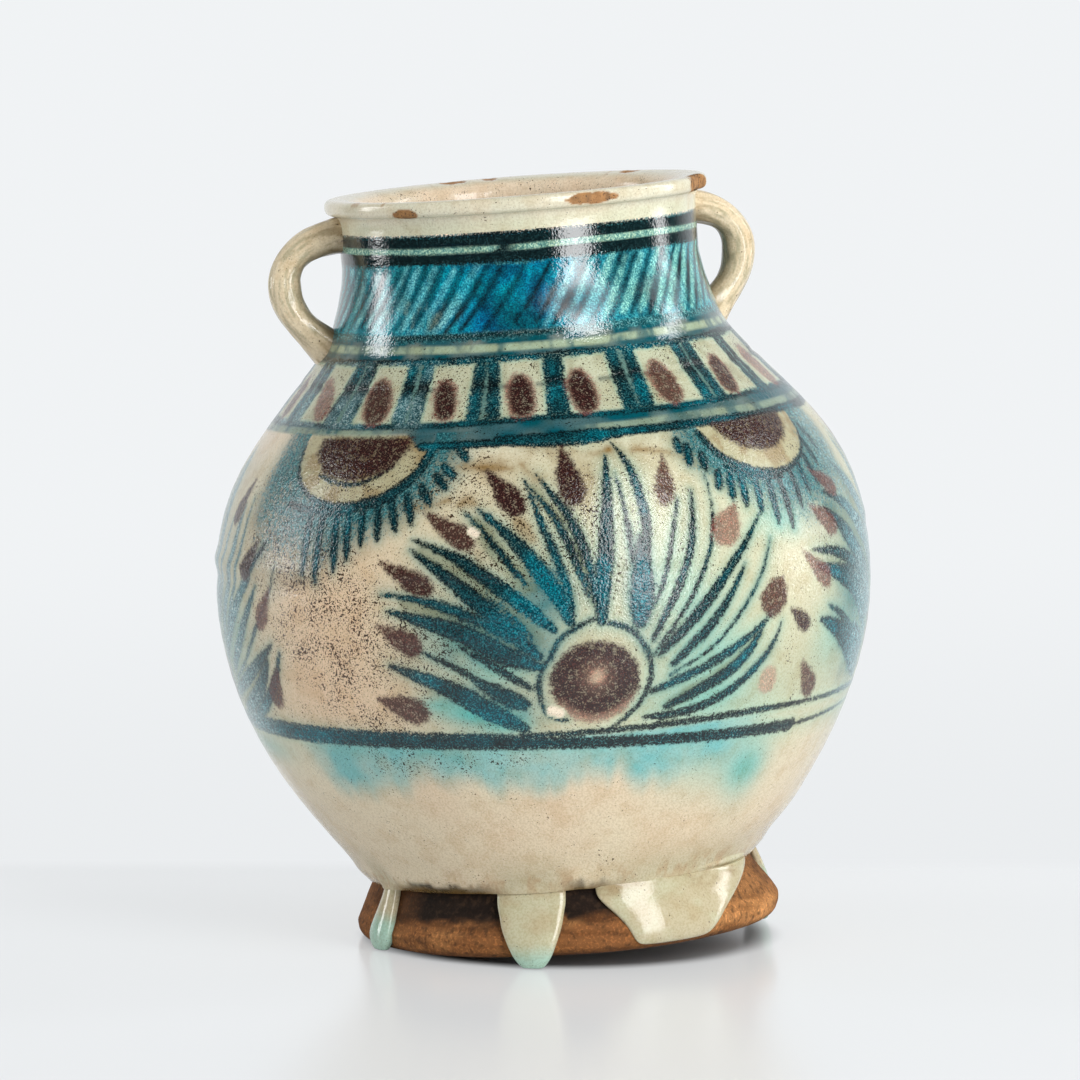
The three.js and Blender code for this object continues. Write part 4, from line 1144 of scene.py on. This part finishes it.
def evenSteps(path, count):
    # points spaced evenly along a path, the way it runs at each, and how far along each is, 0 to 1
    arc, share = lengths(path), np.linspace(0, 1, count)
    points = np.stack([np.interp(share * arc[-1], arc, path[:, k]) for k in range(2)], -1)
    way = np.gradient(points, axis=0)
    return points, way / np.linalg.norm(way, axis=1)[:, None], share


# Coil handles in mm, along a path in the upright plane of each azimuth
handles = {
    "left_handle": {"name": "leftHandle", "azimuth": -83.0},
    "right_handle": {"name": "rightHandle", "azimuth": 112.0},
    "thickness": 8.0, "width": 8.4, "flare": 0.3, "springDrop": 0.4, "springSink": 2.6, "topPull": 13.0,
    "reach": 15.0, "reachDrop": 12.2, "reachPull": 5.6, "fallPull": 8.0, "landRise": -0.6, "landSink": 4.0,
    "landPull": 11.0, "landSlope": 47.0, "around": 64, "along": 130,
}


def handlePath():
    # two cubic curves in (radius, height): from the neck out to the reach, then down to the shoulder
    reach, drop = body["neck"] + handles["reach"], body["lipSeat"] - handles["reachDrop"]
    spring, springHeight = body["neck"] - handles["springSink"], body["lipSeat"] - handles["springDrop"]
    land, slope = body["rootHeight"] + handles["landRise"], math.radians(handles["landSlope"])
    landRadius = float(wallRadius(land)) - handles["landSink"]
    come = (landRadius + handles["landPull"] * math.cos(slope), land + handles["landPull"] * math.sin(slope))
    top = [(spring, springHeight), (spring + handles["topPull"], springHeight)]
    top += [(reach, drop + handles["reachPull"]), (reach, drop)]
    foot = [(reach, drop), (reach, drop - handles["fallPull"]), come, (landRadius, land)]
    return np.concatenate([bezier(top, 200), bezier(foot, 200)[1:]])


def makeHandle(node):
    # an oval carried along the path, spread where its ends were pressed on, with painted shade on the inside
    # of the loop
    azimuth = handles[node]["azimuth"]
    middle, run, share = evenSteps(handlePath(), handles["along"])
    angle = np.linspace(0, 2 * np.pi, handles["around"], endpoint=False)
    share, angle = np.meshgrid(share, angle, indexing="ij")
    spread = 1 + handles["flare"] * (hump(share, 0, 0.1) + hump(share, 1, 0.13))
    spread = spread + 0.05 * np.sin(share * 17 + azimuth)
    lumps = 1 + 0.07 * (softNoise(np.degrees(angle), 160 * share, 14, 140 + int(azimuth) % 7) - 0.5)
    out = spread * lumps * handles["thickness"] / 2 * np.cos(angle)
    aside = spread * lumps * handles["width"] / 2 * np.sin(angle)
    across, high = middle[:, :1] + out * run[:, 1:], middle[:, 1:] - out * run[:, :1]
    turn = azimuth + np.degrees(np.arctan2(aside, across))
    blotch = mottle(np.degrees(angle), 170 * share, 13, 151)
    colour = tinted(filled(share.shape, "handle"), "runCream", ease(blotch, 0.4, 0.7))
    joins = np.maximum(hump(share, 0.02, 0.16), hump(share, 0.97, 0.14))
    colour = tinted(colour, "worn", 0.4 * joins * ease(blotch, 0.4, 0.65))
    # painted shade: the inside of the loop darkened, deeper towards its ends where it meets the urn
    colour = tinted(colour, "paintedHandleShade", ease(np.cos(angle), 0.25, 0.95) * (0.55 + 0.4 * joins))
    layers = {key: value[:, ::-1] for key, value in plainGlaze(colour, 0.1).items()}
    points = place(turn, np.hypot(across, aside), high)[:, ::-1]
    addPiece(handles[node]["name"], node, points, layers, creamGlaze, capped=True)


makeHandle("left_handle")
makeHandle("right_handle")

# Foot ring in mm: knife facets round it, dark at its top with painted shade under the body's edge
footFinish = {"columns": 640, "facets": 0.55, "facetTurn": 3.5, "facetStart": 20, "rough": 0.35}


def makeFoot():
    # bore, underside, rounded edge and flank in (radius, height), turned round, sheared by the skew
    base, flare, rise = body["base"], body["flare"], body["flareHeight"]
    top = body["footHeight"] - body["slip"]
    bore = np.linspace((body["bore"] - body["boreDraft"], top), (body["bore"], 0), 6)
    under = np.linspace((body["bore"], 0), (base, 0), 7)[1:]
    edge = bezier([(base, 0), (flare, 0), (flare, rise)], 14)[1:]
    flank = np.linspace((flare, rise), (body["footTop"], top), 24)[1:]
    section = np.concatenate([bore, under, edge, flank, np.linspace(flank[-1], bore[0], 4)[1:-1]])
    turn, across, high = turned(section, footFinish["columns"])
    at = {"azimuth": turn, "height": high}
    outer = ease(across, base - 2.5, base) * (1 - zone(at, 0.7, above=(10, 15)))
    ridges = np.abs(np.sin(np.radians(turn * footFinish["facetTurn"] + footFinish["facetStart"])))
    uneven = footFinish["facets"] * (ridges - 0.64)
    uneven = uneven + footFinish["rough"] * (mottle(turn, high * 2, 9, 161) - 0.5)
    nip = zone(at, unevenness["nip"], around=unevenness["nipAt"], above=(rise, body["footHeight"]))
    moved = across + outer * uneven - nip * ease(across, body["bore"], body["bore"] + 3)
    points = place(turn, moved, high - footDrop(turn, moved, high))
    pale = 0.4 * ease(mottle(turn, high * 3, 16, 171), 0.45, 0.75) + zone(at, 0.6, around=(64, 22))
    colour = tinted(filled(turn.shape, "clay"), "clayPale", pale)
    # painted shade: the foot darkened from about halfway up to its top under the body's edge, at the
    # front-left and front
    where = zone(at, 1.2, around=(-30, 22)) + zone(at, 0.85, around=(7, 12))
    where = where + 0.5 * softNoise(turn, 0 * turn, 40, 177)
    footCreaseShade = ease(high + 5.0 * (mottle(0.6 * turn, high * 3, 7, 175) - 0.5), 6.4, 10.4) * np.clip(where, 0, 1)
    colour = tinted(colour, "clayDark", 0.97 * footCreaseShade)
    colour = tinted(colour, "clayDark", zone(at, 0.45, below=(0.4, 2.2)))
    layers = {"ground": colour}
    addPiece("footRing", "foot_ring", points, layers, bareClay, closed=True, sharp=65)


makeFoot()

# Runs of glaze in degrees and mm: where each is, its half widths and thicknesses, and where one stops short
glazeRuns = {
    "left_glaze_run": {
        "name": "leftRun", "azimuth": -60, "drift": -2, "topHalf": 2.6, "tipHalf": 4.9, "sheet": 1.6,
        "bead": 2.9, "shelf": None, "aqua": 0.5, "square": 2.0, "fold": 0.0,
    },
    "front_glaze_run": {
        "name": "frontRun", "azimuth": -10, "drift": 0, "topHalf": 9.2, "tipHalf": 5.7, "sheet": 1.6,
        "bead": 2.8, "shelf": None, "aqua": 0.7, "square": 2.0, "fold": 0.0,
    },
    "right_glaze_run": {
        "name": "rightRun", "azimuth": 114, "drift": 1, "topHalf": 6.0, "tipHalf": 6.2, "sheet": 1.4,
        "bead": 3.0, "shelf": None, "aqua": 0.4, "square": 2.4, "fold": 0.0,
    },
    "glaze_apron": {
        "name": "glazeApron", "azimuth": 39, "drift": -10, "topHalf": 24.5, "tipHalf": 12.0, "sheet": 2.0,
        "bead": 2.0, "shelf": 0.2, "aqua": 1.2, "square": 5.0, "fold": 0.3,
    },
}
runShape = {
    "rise": 4.6, "lap": 2.6, "wear": 0.9, "around": 96, "along": 90, "tipRound": 0.3, "feather": 0.3,
    "startSink": 3.2, "flatness": 0.6,
}


def runPath(run):
    # a spline in (radius, height) down the wall, over the foot's flank and straight down from its flare
    flare, foot = body["flare"], body["footHeight"]
    tipTurn = math.radians(run["azimuth"] + run["drift"])
    under = np.array([flare * math.sin(tipTurn), -flare * math.cos(tipTurn)])
    standing = -(lift + under @ lean[2, :2]) / lean[2, 2]
    tip = standing - runShape["wear"] if run["shelf"] is None else run["shelf"]
    drop = float(footDrop(run["azimuth"] + run["drift"] / 2, flare, body["flareHeight"]))
    knots = [(float(wallRadius(h)), h) for h in (foot + runShape["rise"], foot + runShape["lap"])]
    return smoothPath(knots + [(body["waist"], foot), (flare, body["flareHeight"] - drop), (flare, tip)], 300)


def makeRun(node):
    # a lens-shaped tongue along the path, sunk into the wall where it starts and rounded at its tip
    run = glazeRuns[node]
    middle, way, v = evenSteps(runPath(run), runShape["along"])
    intoTip = np.clip((v - 1 + runShape["tipRound"]) / runShape["tipRound"], 0, 0.999)
    tipShape = (1 - intoTip ** run["square"]) ** (1 / run["square"])
    edge = softNoise(np.linspace(0, 300, len(v)), 0 * v, 70, 181 + int(run["azimuth"]) % 9)
    half = run["topHalf"] + (run["tipHalf"] - run["topHalf"]) * ease(v, 0.2, 0.95)
    half = half * tipShape * (1 + 0.14 * (edge - 0.5))
    thick = np.sqrt(1 - intoTip ** 2) * (run["sheet"] + (run["bead"] - run["sheet"]) * v ** 2)
    thick = thick * (1 - run["fold"] * hump(v, 0.4, 0.14))
    middle[:, 0] -= runShape["startSink"] * (1 - ease(v, 0.0, runShape["feather"]))
    angle = np.linspace(0, 2 * np.pi, runShape["around"], endpoint=False)
    bulge = np.sign(np.sin(angle)) * np.abs(np.sin(angle)) ** runShape["flatness"]
    out = thick[:, None] * bulge[None, :]
    across, high = middle[:, :1] - out * way[:, 1:], middle[:, 1:] + out * way[:, :1]
    aside = np.degrees(half[:, None] * np.cos(angle)[None, :] / middle[:, :1])
    turn = run["azimuth"] + run["drift"] * v[:, None] + aside
    share, twice = np.broadcast_to(v[:, None], out.shape), {"azimuth": turn, "height": high * 2}
    colour = groundGlaze({"azimuth": turn, "height": np.maximum(high, body["footHeight"])})
    colour = tinted(colour, "runCream", ease(share, 0.05, 0.45))
    colour = tinted(colour, "green", 0.35 * blotches(twice, 9, 191, 0.4, 0.7))
    valley = hump(share, 0.3, 0.14) * blotches(twice, 6, 193, 0.35, 0.7)
    colour = tinted(colour, "ochre", 1.3 * run["fold"] * valley)
    colour = tinted(colour, "aqua", 0.8 * ease(share, run["aqua"], run["aqua"] + 0.2))
    specks = 0.3 * (1 - ease(share, 0.1, 0.4))
    layers = {key: value[:, ::-1] for key, value in plainGlaze(colour, specks).items()}
    points = place(turn, across, high)[:, ::-1]
    addPiece(run["name"], node, points, layers, pooledGlaze, capped=True, sharp=70)


for runNode in glazeRuns:
    makeRun(runNode)

# Stage in m: a pale glossy table near the urn and a plain pale sweep behind it
stage = {
    "deep": 6.0, "front": 0.55, "aside": 0.7, "level": -0.0004, "tableEdge": 0.10, "edgeFrom": -0.004,
    "edgeTo": 0.02, "table": (0.80, 0.81, 0.83, 1), "tableSeen": (0.30, 0.305, 0.31, 1), "tableGlow": 0.47,
    "backdrop": (0.875, 0.895, 0.91, 1), "sweepFoot": (0.83, 0.85, 0.865, 1), "sweepTop": 0.9, "fill": 0.34,
    "fillLeft": 0.63, "room": 0.05, "gloss": 0.2, "index": 1.2, "contactFrom": 0.046, "contactTo": 0.056,
}


def makeStage():
    # a flat strip, glossy up to the table's edge and an even pale tone beyond it, with a painted contact
    # shadow round the foot
    mesh = bpy.data.meshes.new("floor")
    corners = [(-1, -stage["front"]), (1, -stage["front"]), (1, stage["deep"]), (-1, stage["deep"])]
    mesh.from_pydata([(side * stage["aside"], y, stage["level"]) for side, y in corners], [], [(0, 1, 2, 3)])
    material, tree, shader, coords = newMaterial("paleFloor")
    shader.inputs["Roughness"].default_value = stage["gloss"]
    shader.inputs["IOR"].default_value = stage["index"]
    shader.inputs["Emission Color"].default_value = stage["backdrop"]
    depth = addNode(tree, "ShaderNodeSeparateXYZ", None, Vector=coords).outputs[1]
    back = remap(tree, depth, stage["tableEdge"] + stage["edgeFrom"], stage["tableEdge"] + stage["edgeTo"])
    sight = addNode(tree, "ShaderNodeLightPath").outputs
    seen = maths(tree, "MAXIMUM", sight["Is Camera Ray"], sight["Is Glossy Ray"])
    top = mixColour(tree, sight["Is Camera Ray"], stage["table"], stage["tableSeen"])
    tree.links.new(top, shader.inputs["Base Color"])
    # painted shadow: the glow the camera sees fades out round the foot, a painted contact shadow on the floor
    foot = (standAt[0] / 1000, standAt[1] / 1000, 0.0)
    away = addNode(tree, "ShaderNodeVectorMath", {"operation": "DISTANCE"}, i0=coords, i1=foot)
    openFloor = remap(tree, away.outputs["Value"], stage["contactFrom"], stage["contactTo"])
    glow = maths(tree, "MULTIPLY", openFloor, stage["tableGlow"])
    tree.links.new(maths(tree, "MULTIPLY", sight["Is Camera Ray"], glow), shader.inputs["Emission Strength"])
    rising = remap(tree, depth, stage["tableEdge"], stage["sweepTop"])
    tone = mixColour(tree, rising, stage["sweepFoot"], stage["backdrop"])
    sweep = addNode(tree, "ShaderNodeEmission", None, Color=tone, Strength=1.0).outputs[0]
    share = maths(tree, "MULTIPLY", back, seen)
    mixed = addNode(tree, "ShaderNodeMixShader", None, i0=share, i1=shader.outputs[0], i2=sweep)
    tree.links.new(mixed.outputs[0], tree.nodes["Material Output"].inputs["Surface"])
    mesh.materials.append(material)
    floor = bpy.data.objects.new("floor", mesh)
    bpy.context.collection.objects.link(floor)


def makeWorld():
    # a white sweep behind the urn where it is seen or mirrored, a dim room on the camera's side, a soft fill
    world = bpy.data.worlds.new("studio")
    bpy.context.scene.world = world
    world.use_nodes = True
    tree = world.node_tree
    sight = addNode(tree, "ShaderNodeLightPath").outputs
    mirrored = maths(tree, "MAXIMUM", sight["Is Glossy Ray"], sight["Is Transmission Ray"])
    coords = addNode(tree, "ShaderNodeTexCoord").outputs["Generated"]
    way = addNode(tree, "ShaderNodeSeparateXYZ", None, Vector=coords).outputs
    behind, below = remap(tree, way[1], 0.45, 0.8), remap(tree, way[2], 0.45, 0.85, 1.0, 0.0)
    sweep = maths(tree, "MULTIPLY", behind, below)
    reflected = maths(tree, "MULTIPLY_ADD", sweep, 1.0 - stage["room"], stage["room"])
    strength = maths(tree, "ADD", sight["Is Camera Ray"], maths(tree, "MULTIPLY", mirrored, reflected))
    diffuse = maths(tree, "SUBTRACT", 1.0, maths(tree, "MAXIMUM", mirrored, sight["Is Camera Ray"]))
    fill = remap(tree, way[0], -0.8, 0.8, stage["fillLeft"], stage["fill"])
    strength = maths(tree, "MAXIMUM", strength, maths(tree, "MULTIPLY", diffuse, fill))
    ground = tree.nodes["Background"]
    ground.inputs["Color"].default_value = stage["backdrop"]
    tree.links.new(strength, ground.inputs["Strength"])


# Soft boxes: azimuth from the front to the right, elevation, distance, width and height in m, power in W
softBoxes = {
    "keyBox": (36.0, 21.0, 1.3, 0.5, 1.2, 16.0), "rightStrip": (103.0, 20.0, 1.2, 0.2, 1.06, 4.5),
    "leftStrip": (-101.0, 14.0, 1.2, 0.25, 0.75, 4.2),
}


def makeLights():
    # each soft box faces the middle of the urn
    for name, (azimuth, elevation, distance, width, tall, power) in softBoxes.items():
        turn, rise = math.radians(azimuth), math.radians(elevation)
        away = Vector((math.sin(turn) * math.cos(rise), -math.cos(turn) * math.cos(rise), math.sin(rise)))
        lamp = bpy.data.lights.new(name, "AREA")
        lamp.shape, lamp.size, lamp.size_y, lamp.energy = "RECTANGLE", width, tall, power
        box = bpy.data.objects.new(name, lamp)
        box.location = away * distance + Vector((0, 0, 0.1))
        box.rotation_euler = away.to_track_quat("Z", "Y").to_euler()
        bpy.context.collection.objects.link(box)


# Camera: straight at the front, looking down a little through a long lens
view = {"target": (-0.0010, 0.0, 0.1015), "distance": 1.948, "pitch": 6.74, "lens": 253.33, "sensor": 36.0}


def makeCamera():
    # set back from the target along the pitched line of sight
    pitch = math.radians(view["pitch"])
    lens = bpy.data.cameras.new("photoCamera")
    lens.lens, lens.sensor_width = view["lens"], view["sensor"]
    lens.sensor_fit, lens.clip_end = "HORIZONTAL", 100.0
    camera = bpy.data.objects.new("photoCamera", lens)
    x, y, z = view["target"]
    camera.location = (x, y - view["distance"] * math.cos(pitch), z + view["distance"] * math.sin(pitch))
    camera.rotation_euler = (math.pi / 2 - pitch, 0, 0)
    bpy.context.collection.objects.link(camera)
    bpy.context.scene.camera = camera


makeStage()
makeWorld()
makeLights()
makeCamera()
bpy.context.scene.view_settings.view_transform = "Standard"
print("stage, lights and camera set")
